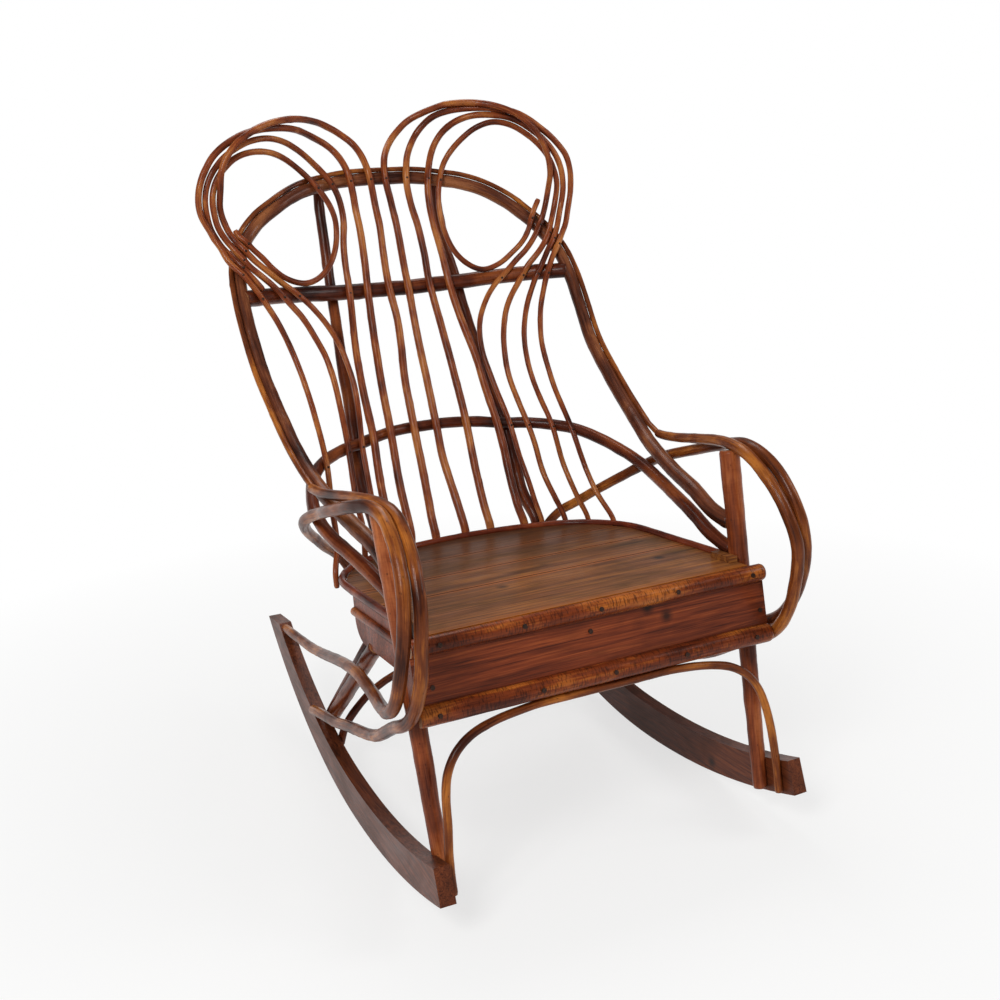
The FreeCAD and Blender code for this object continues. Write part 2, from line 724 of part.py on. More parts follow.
# BATTENS under the seat boards tie them together, front to back.
BATTEN_PLACE_SHARE = 0.45
BATTEN_START_SHARE = 0.053
for side, name in ((1, "right"), (-1, "left")):
    batten = doc.addObject("Part::Box", "batten_" + name)
    batten.setExpression("Length", "Sizes.batten_width")
    batten.setExpression("Width", "Sizes.batten_length")
    batten.setExpression("Height", "Sizes.batten_thickness")
    middle = side * BATTEN_PLACE_SHARE * half_width
    shift = Vector(middle - size("batten_width") / 2, BATTEN_START_SHARE * seat_length,
                   -seat_thickness - GAP - size("batten_thickness"))
    batten.Placement = seat_placement.multiply(Placement(shift, Rotation()))
    export_as("seat_batten_" + name, batten)

# REAR LEGS stand on the runners and reach forward under the side boards.
LEG_FOOT_SHARE = 0.128
LEG_TOP_SHARE = 0.4955
leg_foot_y = LEG_FOOT_SHARE * DEPTH
leg_foot_x = runner_inside(leg_foot_y)
LEG_DIP_SHARE = 0.25
leg_radius = size("rear_leg_diameter") / 2
LEG_FOOT = Vector(leg_foot_x, leg_foot_y, runner_top(leg_foot_y) - LEG_DIP_SHARE * leg_radius)
LEG_TOP = on_seat(half_width - side_thickness / 2, LEG_TOP_SHARE * seat_length,
                  -seat_thickness - side_height + LEG_DIP_SHARE * leg_radius)
stick("rear_leg_right", LEG_FOOT, LEG_TOP, "rear_leg_diameter", "rear_leg_diameter",
      [runner_right, side_right])
stick("rear_leg_left", mirrored([LEG_FOOT])[0], mirrored([LEG_TOP])[0],
      "rear_leg_diameter", "rear_leg_diameter", [runner_left, side_left])

# STRUTS, thinner, stand beside the rear legs from runner to batten side.
strut_radius = size("rear_strut_diameter") / 2
STRUT_FOOT_SHARE = 0.170
STRUT_SINK_SHARE = 0.45
STRUT_ASIDE_SHARE = 1.4
STRUT_TOP_SHARE = 0.556
STRUT_DROP_SHARE = 0.55
strut_foot_y = STRUT_FOOT_SHARE * DEPTH
STRUT_FOOT = Vector(runner_inside(strut_foot_y) - strut_radius - TWIG_GAP, strut_foot_y,
                    runner_top(strut_foot_y) - STRUT_SINK_SHARE * runner_height)
STRUT_TOP = on_seat(half_width - side_thickness - STRUT_ASIDE_SHARE * strut_radius,
                    STRUT_TOP_SHARE * seat_length, -seat_thickness - STRUT_DROP_SHARE * side_height)
stick("rear_strut_right", STRUT_FOOT, STRUT_TOP, "rear_strut_diameter", "rear_strut_diameter")
stick("rear_strut_left", mirrored([STRUT_FOOT])[0], mirrored([STRUT_TOP])[0],
      "rear_strut_diameter", "rear_strut_diameter")

# REAR HOOP, an arched twig whose ends are nailed to the runners' inner faces.
hoop_radius = size("rear_hoop_diameter") / 2
HOOP_SHARES = [
    (0.0, 0.040, 0.195), (0.050, 0.042, 0.192), (0.095, 0.048, 0.184), (0.150, 0.060, 0.165),
    (0.190, 0.073, 0.139), (0.220, 0.081, 0.107), (0.237, 0.086, 0.081),
]
HOOP_END_SHARE = 0.6
HOOP_FOOT_SHARE = 0.090
HOOP_SINK_SHARE = 0.40
end_y = HOOP_FOOT_SHARE * DEPTH
half_hoop = route(HOOP_SHARES)
half_hoop.append(Vector(runner_inside(end_y) - HOOP_END_SHARE * hoop_radius, end_y,
                        runner_top(end_y) - HOOP_SINK_SHARE * runner_height))
rear_hoop_route = smooth(mirrored(half_hoop)[:0:-1] + half_hoop)
twig("rear_hoop", rear_hoop_route, "rear_hoop_diameter", [runner_right, runner_left])

# FRONT HOOP, an arched twig between the posts; its top meets the lower rail.
front_hoop_radius = size("front_hoop_diameter") / 2
rail_low = (front_face - lean_up * (LOWER_RAIL_DROP_SHARE * apron_height + lower_radius))
hoop_top_z = rail_low.z - front_hoop_radius - TWIG_GAP
hoop_y = rail_low.y
FRONT_HOOP_SHARES = [
    (0.110, 0.998), (0.170, 0.972), (0.200, 0.940), (0.225, 0.882), (0.241, 0.800),
    (0.249, 0.700), (0.253, 0.560),
]
FRONT_HOOP_LEAN_SHARES = (0.0, -0.002, -0.004, -0.008, -0.013, -0.020, -0.030)
FRONT_HOOP_FLAT_SHARE = 0.055
FRONT_HOOP_FOOT_SHARES = ((-0.037, 0.38), (-0.044, 0.22))
half_hoop = [Vector(0, hoop_y, hoop_top_z), Vector(FRONT_HOOP_FLAT_SHARE * WIDTH, hoop_y, hoop_top_z)]
for (x_share, z_share), y_share in zip(FRONT_HOOP_SHARES, FRONT_HOOP_LEAN_SHARES):
    half_hoop.append(Vector(x_share * WIDTH, hoop_y + y_share * DEPTH, z_share * hoop_top_z))
for y_share, z_share in FRONT_HOOP_FOOT_SHARES:
    y = hoop_y + y_share * DEPTH
    half_hoop.append(Vector(runner_inside(y) - front_hoop_radius - TWIG_GAP, y,
                            z_share * hoop_top_z))
front_hoop_route = smooth(mirrored(half_hoop)[:0:-1] + half_hoop)
twig("front_hoop", front_hoop_route, "front_hoop_diameter")

# OUTER BOW: one long stick from post to post, up the sides and over the top.
bow_radius = size("bow_diameter") / 2
BOW_SHARES = [
    (0.0, 0.392, 0.942), (0.070, 0.390, 0.940), (0.110, 0.383, 0.934), (0.142, 0.371, 0.928),
    (0.173, 0.357, 0.917), (0.200, 0.347, 0.903), (0.226, 0.342, 0.887), (0.248, 0.333, 0.868),
    (0.270, 0.313, 0.843), (0.287, 0.279, 0.807), (0.293, 0.249, 0.768), (0.294, 0.222, 0.728),
    (0.291, 0.170, 0.655), (0.288, 0.113, 0.607), (0.285, 0.055, 0.565), (0.281, 0.008, 0.537),
    (0.275, -0.035, 0.515), (0.268, -0.085, 0.497), (0.260, -0.145, 0.481), (0.254, -0.204, 0.467),
    (0.2530, -0.247, 0.448),
]
bow_half = route(BOW_SHARES)
BOW_END_SHARE = 0.432
centre, radius = post_at(BOW_END_SHARE * HEIGHT)
bow_half.append(centre)
bow_route = smooth(mirrored(bow_half)[:0:-1] + bow_half)
outer_bow = twig("outer_bow", bow_route, "bow_diameter", post_rounds)

# MID BOW: across the back at the height of the arms and round to the posts.
mid_radius = size("mid_bow_diameter") / 2
MID_SHARES = [
    (0.0, 0.245, 0.526), (0.050, 0.240, 0.526), (0.090, 0.226, 0.524), (0.130, 0.206, 0.520),
    (0.170, 0.182, 0.519), (0.205, 0.153, 0.515), (0.232, 0.122, 0.509), (0.255, 0.080, 0.496),
    (0.271, 0.032, 0.481), (0.278, -0.012, 0.468), (0.276, -0.069, 0.453), (0.268, -0.125, 0.442),
    (0.259, -0.190, 0.428), (0.252, -0.250, 0.410),
]
mid_half = route(MID_SHARES)
MID_END_SHARE = 0.391
centre, radius = post_at(MID_END_SHARE * HEIGHT)
mid_half.append(centre)
mid_route = smooth(mirrored(mid_half)[:0:-1] + mid_half)
twig("mid_bow", mid_route, "mid_bow_diameter", post_rounds)

# CROSSBAR behind the bow's sides, UPRIGHTS behind crossbar, bows and rim.
bar_radius = size("crossbar_diameter") / 2
BAR_SHARES = [
    (0.0, 0.345, 0.755), (0.060, 0.342, 0.756), (0.120, 0.333, 0.758), (0.180, 0.316, 0.762),
    (0.235, 0.288, 0.766), (0.270, 0.265, 0.768), (0.292, 0.250, 0.769),
]
back = (0, 1, 0)
fore = (0, -1, 0)
REACH_SHARE = 0.06
reach = REACH_SHARE * HEIGHT
bar_half = route(BAR_SHARES)
bar_route = smooth(mirrored(bar_half)[:0:-1] + bar_half)
twig("crossbar", bar_route, "crossbar_diameter", [outer_bow])

upright_radius = size("upright_diameter") / 2
rod_radius = size("rod_diameter") / 2


def rear_foot(x_share, out, drop):
    """Foot behind the rim, at a share of the width along the rear edge."""
    x = x_share * WIDTH
    low, high = 0.0, math.pi / 2
    for turn in range(40):
        middle = (low + high) / 2
        if rear_edge(middle, rim_out).x < x:
            low = middle
        else:
            high = middle
    spot = rear_edge(low, rim_out + rim_radius + out)
    return on_seat(spot.x, spot.y, drop)


# THIN TWIG laid along the outer bow, over the top and down both sides.
twig_radius = size("twig_diameter") / 2
beside = bow_radius + twig_radius + TWIG_GAP
KINK_SHARES = (0.290, -0.046, 0.523)
THIN_END_SHARE = 0.035
THIN_TURN_SHARE = 0.25
THIN_LEAN_SHARE = -0.15
THIN_TOP_SHARE = 1.15
THIN_FALL_SHARE = 0.55
kink = at(*KINK_SHARES)
thin_half = []
middle_index = len(bow_route) // 2
for i in range(middle_index, len(bow_route) - 1):
    point = bow_route[i]
    if point.y < kink.y + THIN_END_SHARE * DEPTH:
        break
    along = Vector(bow_route[i + 1] - bow_route[i - 1]).normalize()
    share = min(point.x / (THIN_TURN_SHARE * WIDTH), 1)
    away = Vector(share * share, THIN_LEAN_SHARE, THIN_TOP_SHARE - share * THIN_FALL_SHARE)
    away = away - along * away.dot(along)
    thin_half.append(point + away.normalize() * beside)
thin_half.append(kink)
thin_route = mirrored(thin_half)[:0:-1] + thin_half

# ARMS. The inner twig carries on from the kink of the thin one, passes over
# the post, turns down as the inner hoop and runs back to the runner.
arm_radius = size("arm_diameter") / 2
INNER_ARM_SHARES = [
    (0.290, -0.040, 0.522), (0.290, -0.064, 0.523), (0.288, -0.095, 0.526), (0.285, -0.140, 0.533),
    (0.281, -0.190, 0.541),
    (0.275, -0.240, 0.548), (0.268, -0.285, 0.549), (0.265, -0.318, 0.543), (0.266, -0.350, 0.525),
    (0.269, -0.380, 0.498), (0.273, -0.401, 0.466), (0.277, -0.412, 0.436), (0.279, -0.412, 0.405),
    (0.279, -0.407, 0.375), (0.280, -0.398, 0.345), (0.281, -0.383, 0.316), (0.282, -0.362, 0.291),
    (0.283, -0.335, 0.272), (0.282, -0.300, 0.255), (0.279, -0.260, 0.232), (0.276, -0.215, 0.206),
    (0.273, -0.160, 0.182), (0.271, -0.105, 0.164), (0.270, -0.045, 0.146), (0.2695, 0.020, 0.125),
    (0.2695, 0.075, 0.112), (0.2695, 0.120, 0.101), (0.2685, 0.160, 0.0895),
]
inner_route = keep_off(smooth(route(INNER_ARM_SHARES)), arm_radius, [(bow_route, bow_radius)])
arm_right = twig("arm_inner_right", inner_route, "arm_diameter", [runner_right])
arm_left = twig("arm_inner_left", mirrored(inner_route), "arm_diameter", [runner_left])
twig("top_twig", thin_route, "twig_diameter", [arm_right, arm_left])

# The outer twig starts behind the seat, wraps the two bows, runs forward
# over the arm outside the inner twig and comes back low to the runner's end.
OUTER_ARM_SHARES = [
    (0.158, 0.152, 0.245), (0.170, 0.160, 0.290), (0.188, 0.165, 0.332), (0.209, 0.154, 0.358),
    (0.231, 0.129, 0.378), (0.252, 0.098, 0.402), (0.274, 0.062, 0.427), (0.288, 0.028, 0.448),
    (0.296, -0.006, 0.466), (0.296, -0.045, 0.483), (0.294, -0.090, 0.498), (0.299, -0.140, 0.513),
    (0.297, -0.190, 0.528), (0.293, -0.240, 0.542), (0.286, -0.282, 0.550), (0.283, -0.318, 0.546),
    (0.285, -0.352, 0.530), (0.288, -0.382, 0.500), (0.293, -0.401, 0.462), (0.297, -0.405, 0.425),
    (0.299, -0.400, 0.394), (0.300, -0.390, 0.366), (0.300, -0.374, 0.334), (0.299, -0.350, 0.306),
    (0.296, -0.318, 0.287), (0.290, -0.278, 0.276), (0.283, -0.230, 0.271), (0.278, -0.180, 0.269),
    (0.273, -0.120, 0.264), (0.268, -0.050, 0.250), (0.264, 0.020, 0.232), (0.260, 0.100, 0.211),
    (0.257, 0.170, 0.195), (0.256, 0.235, 0.185), (0.256, 0.290, 0.178), (0.256, 0.345, 0.171),
]
outer_route = smooth(route(OUTER_ARM_SHARES))
outer_route = keep_off(outer_route, arm_radius, [
    (inner_route, arm_radius), (bow_route, bow_radius), (mid_route, mid_radius),
    (rim_route, rim_radius)])
outer_right = twig("arm_outer_right", outer_route, "arm_diameter", [runner_right])
outer_left = twig("arm_outer_left", mirrored(outer_route), "arm_diameter", [runner_left])
post_right = stick("post_right", POST_FOOT, POST_TOP, "post_foot_diameter",
                   "post_top_diameter", [runner_right, arm_right, outer_right])
post_left = stick("post_left", mirrored([POST_FOOT])[0], mirrored([POST_TOP])[0],
                  "post_foot_diameter", "post_top_diameter", [runner_left, arm_left, outer_left])

# EARS. Four rods a side. The first three rise from behind the rim as
# spindles in front of the bars, turn over into the ear, come down as a
# bundle past the bow's shoulder and fan out to the rim again. The fourth
# starts as a curl inside the ear. The two sides were bent by hand and differ,
# so each has its own route; the left ones are laid out as if on the right.
RIGHT_ROD_1_SHARES = [
    (0.015, 0.147, 0.391), (0.013, 0.174, 0.434), (0.011, 0.198, 0.474), (0.014, 0.226, 0.524),
    (0.016, 0.264, 0.605), (0.016, 0.286, 0.655), (0.017, 0.310, 0.710), (0.018, 0.327, 0.752),
    (0.017, 0.337, 0.785), (0.016, 0.347, 0.827), (0.015, 0.358, 0.868), (0.011, 0.368, 0.907),
    (0.007, 0.376, 0.940), (0.009, 0.385, 0.963), (0.018, 0.402, 0.981), (0.032, 0.416, 0.999),
    (0.050, 0.422, 1.018), (0.072, 0.420, 1.037), (0.097, 0.407, 1.050), (0.123, 0.384, 1.059),
    (0.151, 0.355, 1.062), (0.179, 0.332, 1.059), (0.206, 0.313, 1.051), (0.233, 0.304, 1.038),
    (0.259, 0.298, 1.016), (0.276, 0.296, 0.992), (0.287, 0.297, 0.964), (0.292, 0.300, 0.937),
    (0.292, 0.302, 0.905), (0.285, 0.303, 0.877), (0.272, 0.300, 0.855), (0.256, 0.297, 0.836),
    (0.232, 0.293, 0.810), (0.212, 0.294, 0.790), (0.192, 0.297, 0.771), (0.172, 0.298, 0.753),
    (0.152, 0.293, 0.730), (0.130, 0.280, 0.689), (0.122, 0.258, 0.643), (0.126, 0.232, 0.596),
    (0.134, 0.193, 0.527), (0.138, 0.162, 0.469), (0.142, 0.142, 0.434), (0.146, 0.122, 0.392),
]
RIGHT_ROD_2_SHARES = [
    (0.060, 0.147, 0.396), (0.062, 0.180, 0.454), (0.066, 0.217, 0.520), (0.067, 0.239, 0.565),
    (0.065, 0.271, 0.635), (0.062, 0.298, 0.694), (0.059, 0.318, 0.737), (0.057, 0.330, 0.769),
    (0.057, 0.340, 0.810), (0.054, 0.354, 0.858), (0.047, 0.367, 0.907), (0.045, 0.375, 0.938),
    (0.049, 0.384, 0.959), (0.060, 0.402, 0.981), (0.076, 0.414, 1.003), (0.093, 0.410, 1.025),
    (0.110, 0.399, 1.041), (0.133, 0.378, 1.051), (0.170, 0.348, 1.053), (0.205, 0.327, 1.047),
    (0.240, 0.317, 1.038), (0.271, 0.311, 1.020), (0.292, 0.308, 1.005), (0.311, 0.306, 0.987),
    (0.3265, 0.304, 0.966), (0.3335, 0.303, 0.940), (0.3335, 0.303, 0.908), (0.326, 0.300, 0.876),
    (0.314, 0.291, 0.848), (0.296, 0.279, 0.828), (0.282, 0.270, 0.813), (0.267, 0.266, 0.792),
    (0.256, 0.261, 0.771), (0.241, 0.249, 0.738), (0.230, 0.238, 0.708), (0.217, 0.214, 0.655),
    (0.215, 0.183, 0.601), (0.216, 0.152, 0.554), (0.218, 0.128, 0.519), (0.223, 0.097, 0.469),
    (0.231, 0.057, 0.410),
]
RIGHT_ROD_3_SHARES = [
    (0.116, 0.128, 0.386), (0.115, 0.150, 0.427), (0.116, 0.176, 0.479), (0.115, 0.201, 0.526),
    (0.112, 0.227, 0.574), (0.109, 0.257, 0.632), (0.101, 0.283, 0.682), (0.095, 0.304, 0.724),
    (0.092, 0.326, 0.770), (0.089, 0.339, 0.813), (0.083, 0.351, 0.858), (0.081, 0.363, 0.901),
    (0.084, 0.372, 0.934), (0.091, 0.380, 0.959), (0.103, 0.391, 0.984), (0.117, 0.390, 1.007),
    (0.134, 0.376, 1.026), (0.153, 0.358, 1.037), (0.173, 0.345, 1.041), (0.197, 0.333, 1.041),
    (0.223, 0.324, 1.034), (0.248, 0.317, 1.022), (0.272, 0.312, 1.006), (0.290, 0.309, 0.990),
    (0.305, 0.306, 0.970), (0.315, 0.304, 0.946), (0.318, 0.303, 0.922), (0.317, 0.302, 0.900),
    (0.311, 0.300, 0.874), (0.299, 0.293, 0.848), (0.283, 0.283, 0.828), (0.267, 0.278, 0.811),
    (0.250, 0.272, 0.785), (0.238, 0.269, 0.763), (0.222, 0.261, 0.735), (0.209, 0.252, 0.709),
    (0.194, 0.235, 0.663), (0.188, 0.211, 0.616), (0.190, 0.178, 0.562), (0.194, 0.152, 0.523),
    (0.198, 0.118, 0.460), (0.206, 0.083, 0.404),
]
RIGHT_ROD_4_SHARES = [
    (0.276, 0.302, 0.892), (0.269, 0.304, 0.880), (0.258, 0.305, 0.863), (0.243, 0.302, 0.840),
    (0.221, 0.299, 0.816), (0.199, 0.301, 0.795), (0.177, 0.306, 0.782), (0.155, 0.313, 0.777),
    (0.132, 0.322, 0.788), (0.114, 0.332, 0.808), (0.103, 0.342, 0.835), (0.098, 0.351, 0.866),
    (0.098, 0.359, 0.894), (0.102, 0.365, 0.921), (0.109, 0.370, 0.944), (0.118, 0.375, 0.962),
    (0.131, 0.373, 0.981), (0.148, 0.361, 1.001), (0.168, 0.347, 1.018), (0.190, 0.335, 1.027),
    (0.212, 0.326, 1.028), (0.233, 0.320, 1.021), (0.253, 0.316, 1.008), (0.273, 0.312, 0.990),
    (0.290, 0.308, 0.969), (0.302, 0.306, 0.944), (0.307, 0.304, 0.918), (0.305, 0.303, 0.892),
    (0.297, 0.302, 0.868), (0.284, 0.297, 0.845), (0.270, 0.287, 0.828), (0.258, 0.283, 0.815),
    (0.242, 0.283, 0.797), (0.228, 0.283, 0.781), (0.210, 0.281, 0.756), (0.192, 0.277, 0.732),
    (0.178, 0.270, 0.708), (0.162, 0.252, 0.664), (0.154, 0.225, 0.606), (0.157, 0.194, 0.553),
    (0.161, 0.174, 0.520), (0.165, 0.156, 0.487), (0.168, 0.129, 0.437), (0.176, 0.105, 0.399),
]
LEFT_ROD_1_SHARES = [
    (0.038, 0.144, 0.388), (0.034, 0.169, 0.428), (0.031, 0.191, 0.466), (0.028, 0.219, 0.512),
    (0.026, 0.237, 0.546), (0.024, 0.265, 0.610), (0.017, 0.289, 0.663), (0.014, 0.309, 0.708),
    (0.017, 0.327, 0.753), (0.018, 0.337, 0.786), (0.017, 0.347, 0.827), (0.016, 0.358, 0.870),
    (0.018, 0.370, 0.915), (0.022, 0.378, 0.950), (0.026, 0.400, 0.980), (0.036, 0.416, 1.003),
    (0.056, 0.421, 1.021), (0.090, 0.409, 1.037), (0.137, 0.371, 1.044), (0.181, 0.335, 1.041),
    (0.216, 0.314, 1.033), (0.248, 0.302, 1.019), (0.272, 0.297, 1.001), (0.290, 0.297, 0.976),
    (0.300, 0.300, 0.943), (0.300, 0.302, 0.910), (0.292, 0.302, 0.878), (0.279, 0.299, 0.851),
    (0.258, 0.295, 0.824), (0.232, 0.290, 0.799), (0.214, 0.292, 0.784), (0.193, 0.295, 0.766),
    (0.174, 0.295, 0.748), (0.157, 0.290, 0.726), (0.143, 0.282, 0.702), (0.132, 0.271, 0.674),
    (0.126, 0.255, 0.641), (0.123, 0.240, 0.609), (0.126, 0.222, 0.575), (0.132, 0.204, 0.546),
    (0.137, 0.187, 0.515), (0.139, 0.162, 0.471), (0.140, 0.143, 0.433), (0.142, 0.121, 0.390),
]
LEFT_ROD_2_SHARES = [
    (0.083, 0.128, 0.374), (0.082, 0.148, 0.409), (0.081, 0.168, 0.442), (0.078, 0.192, 0.483),
    (0.073, 0.224, 0.537), (0.069, 0.262, 0.618), (0.064, 0.293, 0.683), (0.061, 0.311, 0.721),
    (0.058, 0.327, 0.757), (0.055, 0.338, 0.798), (0.053, 0.350, 0.842), (0.054, 0.362, 0.889),
    (0.056, 0.372, 0.927), (0.060, 0.381, 0.955), (0.065, 0.400, 0.977), (0.072, 0.412, 0.991),
    (0.085, 0.412, 1.003), (0.105, 0.401, 1.013), (0.139, 0.372, 1.025), (0.162, 0.353, 1.029),
    (0.190, 0.338, 1.030), (0.218, 0.327, 1.028), (0.246, 0.318, 1.022), (0.272, 0.311, 1.011),
    (0.299, 0.307, 0.993), (0.315, 0.305, 0.973), (0.325, 0.303, 0.951), (0.3295, 0.303, 0.918),
    (0.325, 0.301, 0.890), (0.316, 0.297, 0.864), (0.302, 0.285, 0.840), (0.291, 0.267, 0.814),
    (0.282, 0.259, 0.800), (0.271, 0.257, 0.783), (0.257, 0.252, 0.758), (0.243, 0.242, 0.729),
    (0.232, 0.228, 0.696), (0.222, 0.207, 0.649), (0.217, 0.182, 0.604), (0.216, 0.160, 0.567),
    (0.218, 0.140, 0.537), (0.221, 0.118, 0.500), (0.226, 0.090, 0.455), (0.232, 0.055, 0.408),
]
LEFT_ROD_3_SHARES = [
    (0.120, 0.126, 0.384), (0.118, 0.150, 0.430), (0.115, 0.177, 0.479), (0.110, 0.205, 0.530),
    (0.109, 0.224, 0.566), (0.108, 0.246, 0.610), (0.105, 0.269, 0.654), (0.100, 0.292, 0.699),
    (0.095, 0.311, 0.733), (0.092, 0.325, 0.765), (0.091, 0.336, 0.806), (0.087, 0.347, 0.842),
    (0.081, 0.355, 0.870), (0.081, 0.362, 0.898), (0.087, 0.369, 0.925), (0.099, 0.376, 0.948),
    (0.115, 0.380, 0.967), (0.133, 0.371, 0.983), (0.152, 0.358, 0.996), (0.176, 0.343, 1.008),
    (0.203, 0.331, 1.014), (0.231, 0.322, 1.012), (0.258, 0.315, 1.003), (0.284, 0.309, 0.987),
    (0.304, 0.306, 0.966), (0.317, 0.305, 0.944), (0.325, 0.304, 0.920), (0.322, 0.303, 0.895),
    (0.314, 0.300, 0.871), (0.303, 0.291, 0.849), (0.288, 0.276, 0.824), (0.270, 0.270, 0.799),
    (0.256, 0.268, 0.780),
]
LEFT_ROD_4_SHARES = [
    (0.280, 0.300, 0.873), (0.271, 0.300, 0.859), (0.258, 0.299, 0.844), (0.244, 0.297, 0.828),
    (0.230, 0.294, 0.810), (0.212, 0.295, 0.795), (0.189, 0.302, 0.784), (0.167, 0.310, 0.780),
    (0.144, 0.319, 0.786), (0.127, 0.326, 0.798), (0.112, 0.335, 0.816), (0.102, 0.343, 0.837),
    (0.097, 0.350, 0.859), (0.097, 0.356, 0.880), (0.103, 0.362, 0.902), (0.113, 0.366, 0.922),
    (0.129, 0.365, 0.943), (0.150, 0.357, 0.963), (0.178, 0.342, 0.982), (0.206, 0.329, 0.992),
    (0.233, 0.320, 0.994), (0.258, 0.314, 0.989), (0.280, 0.310, 0.977), (0.298, 0.307, 0.958),
    (0.310, 0.305, 0.936), (0.314, 0.304, 0.914), (0.312, 0.303, 0.890), (0.304, 0.301, 0.868),
    (0.292, 0.294, 0.845), (0.276, 0.278, 0.822), (0.256, 0.278, 0.803), (0.237, 0.280, 0.785),
    (0.222, 0.280, 0.768), (0.207, 0.277, 0.748), (0.192, 0.274, 0.728), (0.177, 0.265, 0.697),
    (0.165, 0.252, 0.664), (0.160, 0.235, 0.629), (0.161, 0.204, 0.576), (0.165, 0.178, 0.534),
    (0.169, 0.154, 0.493), (0.172, 0.130, 0.448), (0.171, 0.108, 0.400),
]


# Places of the feet along the rear edge: where each rod starts and ends.
RIGHT_FOOT_SHARES = [(0.016, 0.146), (0.060, 0.235), (0.117, 0.209), (0, 0.180)]
LEFT_FOOT_SHARES = [(0.037, 0.142), (0.083, 0.238), (0.120, 0), (0, 0.170)]
UPRIGHT_FOOT_SHARES = (0.139, 0.133)
FOOT_DROP_SHARE = -1.3
FOOT_LIFT_SHARE = 0.4


def rod_foot(x_share):
    out = rod_radius + TWIG_GAP
    return [rear_foot(x_share, out, FOOT_DROP_SHARE * seat_thickness),
            rear_foot(x_share, out, FOOT_LIFT_SHARE * seat_thickness)]


def rod_line(first_foot_share, shares, last_foot_share):
    """Route of a rod with its feet behind the rim, if it has them."""
    line = route(shares)
    if first_foot_share:
        line = rod_foot(first_foot_share) + line
    if last_foot_share:
        line = line + rod_foot(last_foot_share)[::-1]
    return line


front_view = (0, -1, 0)
bars = [
    (bow_route, bow_radius, front_view, reach), (bar_route, bar_radius, front_view, reach),
    (mid_route, mid_radius, front_view, reach), (thin_route, twig_radius, front_view, reach),
]
solid_bars = [
    (bow_route, bow_radius), (thin_route, twig_radius), (bar_route, bar_radius),
    (mid_route, mid_radius), (rim_route, rim_radius)]


def ear(lines):
    laid = [lay(smooth(line), rod_radius, bars) for line in lines]
    return settle(laid, rod_radius, solid_bars)


RIGHT_SHARES = [RIGHT_ROD_1_SHARES, RIGHT_ROD_2_SHARES, RIGHT_ROD_3_SHARES, RIGHT_ROD_4_SHARES]
LEFT_SHARES = [LEFT_ROD_1_SHARES, LEFT_ROD_2_SHARES, LEFT_ROD_3_SHARES, LEFT_ROD_4_SHARES]
right_rods = ear([rod_line(first, shares, last)
                  for shares, (first, last) in zip(RIGHT_SHARES, RIGHT_FOOT_SHARES)])
left_rods = ear([rod_line(first, shares, last)
                 for shares, (first, last) in zip(LEFT_SHARES, LEFT_FOOT_SHARES)])
for number, rod in enumerate(right_rods, start=1):
    twig("ear_rod_right_%d" % number, rod, "rod_diameter")
for number, rod in enumerate(left_rods, start=1):
    twig("ear_rod_left_%d" % number, mirrored(rod), "rod_diameter")

# UPRIGHTS stand behind the bow, the crossbar, the mid bow and the rods.
UPRIGHT_RIGHT_SHARES = [
    (0.109, 0.405, 0.937), (0.112, 0.400, 0.890), (0.114, 0.378, 0.812), (0.120, 0.366, 0.777),
    (0.124, 0.349, 0.731), (0.129, 0.316, 0.668), (0.133, 0.286, 0.609), (0.137, 0.254, 0.551),
    (0.141, 0.228, 0.506), (0.142, 0.190, 0.450), (0.140, 0.158, 0.400),
]
UPRIGHT_LEFT_SHARES = [
    (0.106, 0.404, 0.937), (0.108, 0.398, 0.890), (0.111, 0.372, 0.805), (0.113, 0.352, 0.748),
    (0.121, 0.312, 0.675), (0.127, 0.280, 0.620), (0.130, 0.253, 0.573), (0.134, 0.229, 0.534),
    (0.138, 0.210, 0.499), (0.142, 0.182, 0.446), (0.138, 0.152, 0.400),
]


UPRIGHT_LIFT_SHARE = 0.5
UPRIGHT_DROP_SHARE = -1.6


def upright_line(shares, foot_share, rods):
    out = upright_radius + 2 * rod_radius
    line = route(shares) + [rear_foot(foot_share, out, UPRIGHT_LIFT_SHARE * seat_thickness),
                            rear_foot(foot_share, out, UPRIGHT_DROP_SHARE * seat_thickness)]
    line = lay(smooth(line), upright_radius, [
        (bow_route, bow_radius, back, reach), (bar_route, bar_radius, back, reach),
        (mid_route, mid_radius, back, reach)])
    return keep_off(line, upright_radius, [
        (rods[2], rod_radius), (rods[0], rod_radius), (rim_route, rim_radius)])


upright_right = upright_line(UPRIGHT_RIGHT_SHARES, UPRIGHT_FOOT_SHARES[0], right_rods)
upright_left = upright_line(UPRIGHT_LEFT_SHARES, UPRIGHT_FOOT_SHARES[1], left_rods)
twig("upright_right", upright_right, "upright_diameter")
twig("upright_left", mirrored(upright_left), "upright_diameter")

# CLEATS. Small blocks on the seat beside the posts.
CLEAT_START_SHARE = 0.051
for side, name in ((1, "right"), (-1, "left")):
    cleat = doc.addObject("Part::Box", "cleat_" + name)
    cleat.setExpression("Length", "Sizes.cleat_width")
    cleat.setExpression("Width", "Sizes.cleat_length")
    cleat.setExpression("Height", "Sizes.cleat_height")
    low_x = half_width - size("cleat_width") if side > 0 else -half_width
    shift = Vector(low_x, CLEAT_START_SHARE * seat_length, GAP)
    cleat.Placement = seat_placement.multiply(Placement(shift, Rotation()))
    export_as("seat_cleat_" + name, cleat)

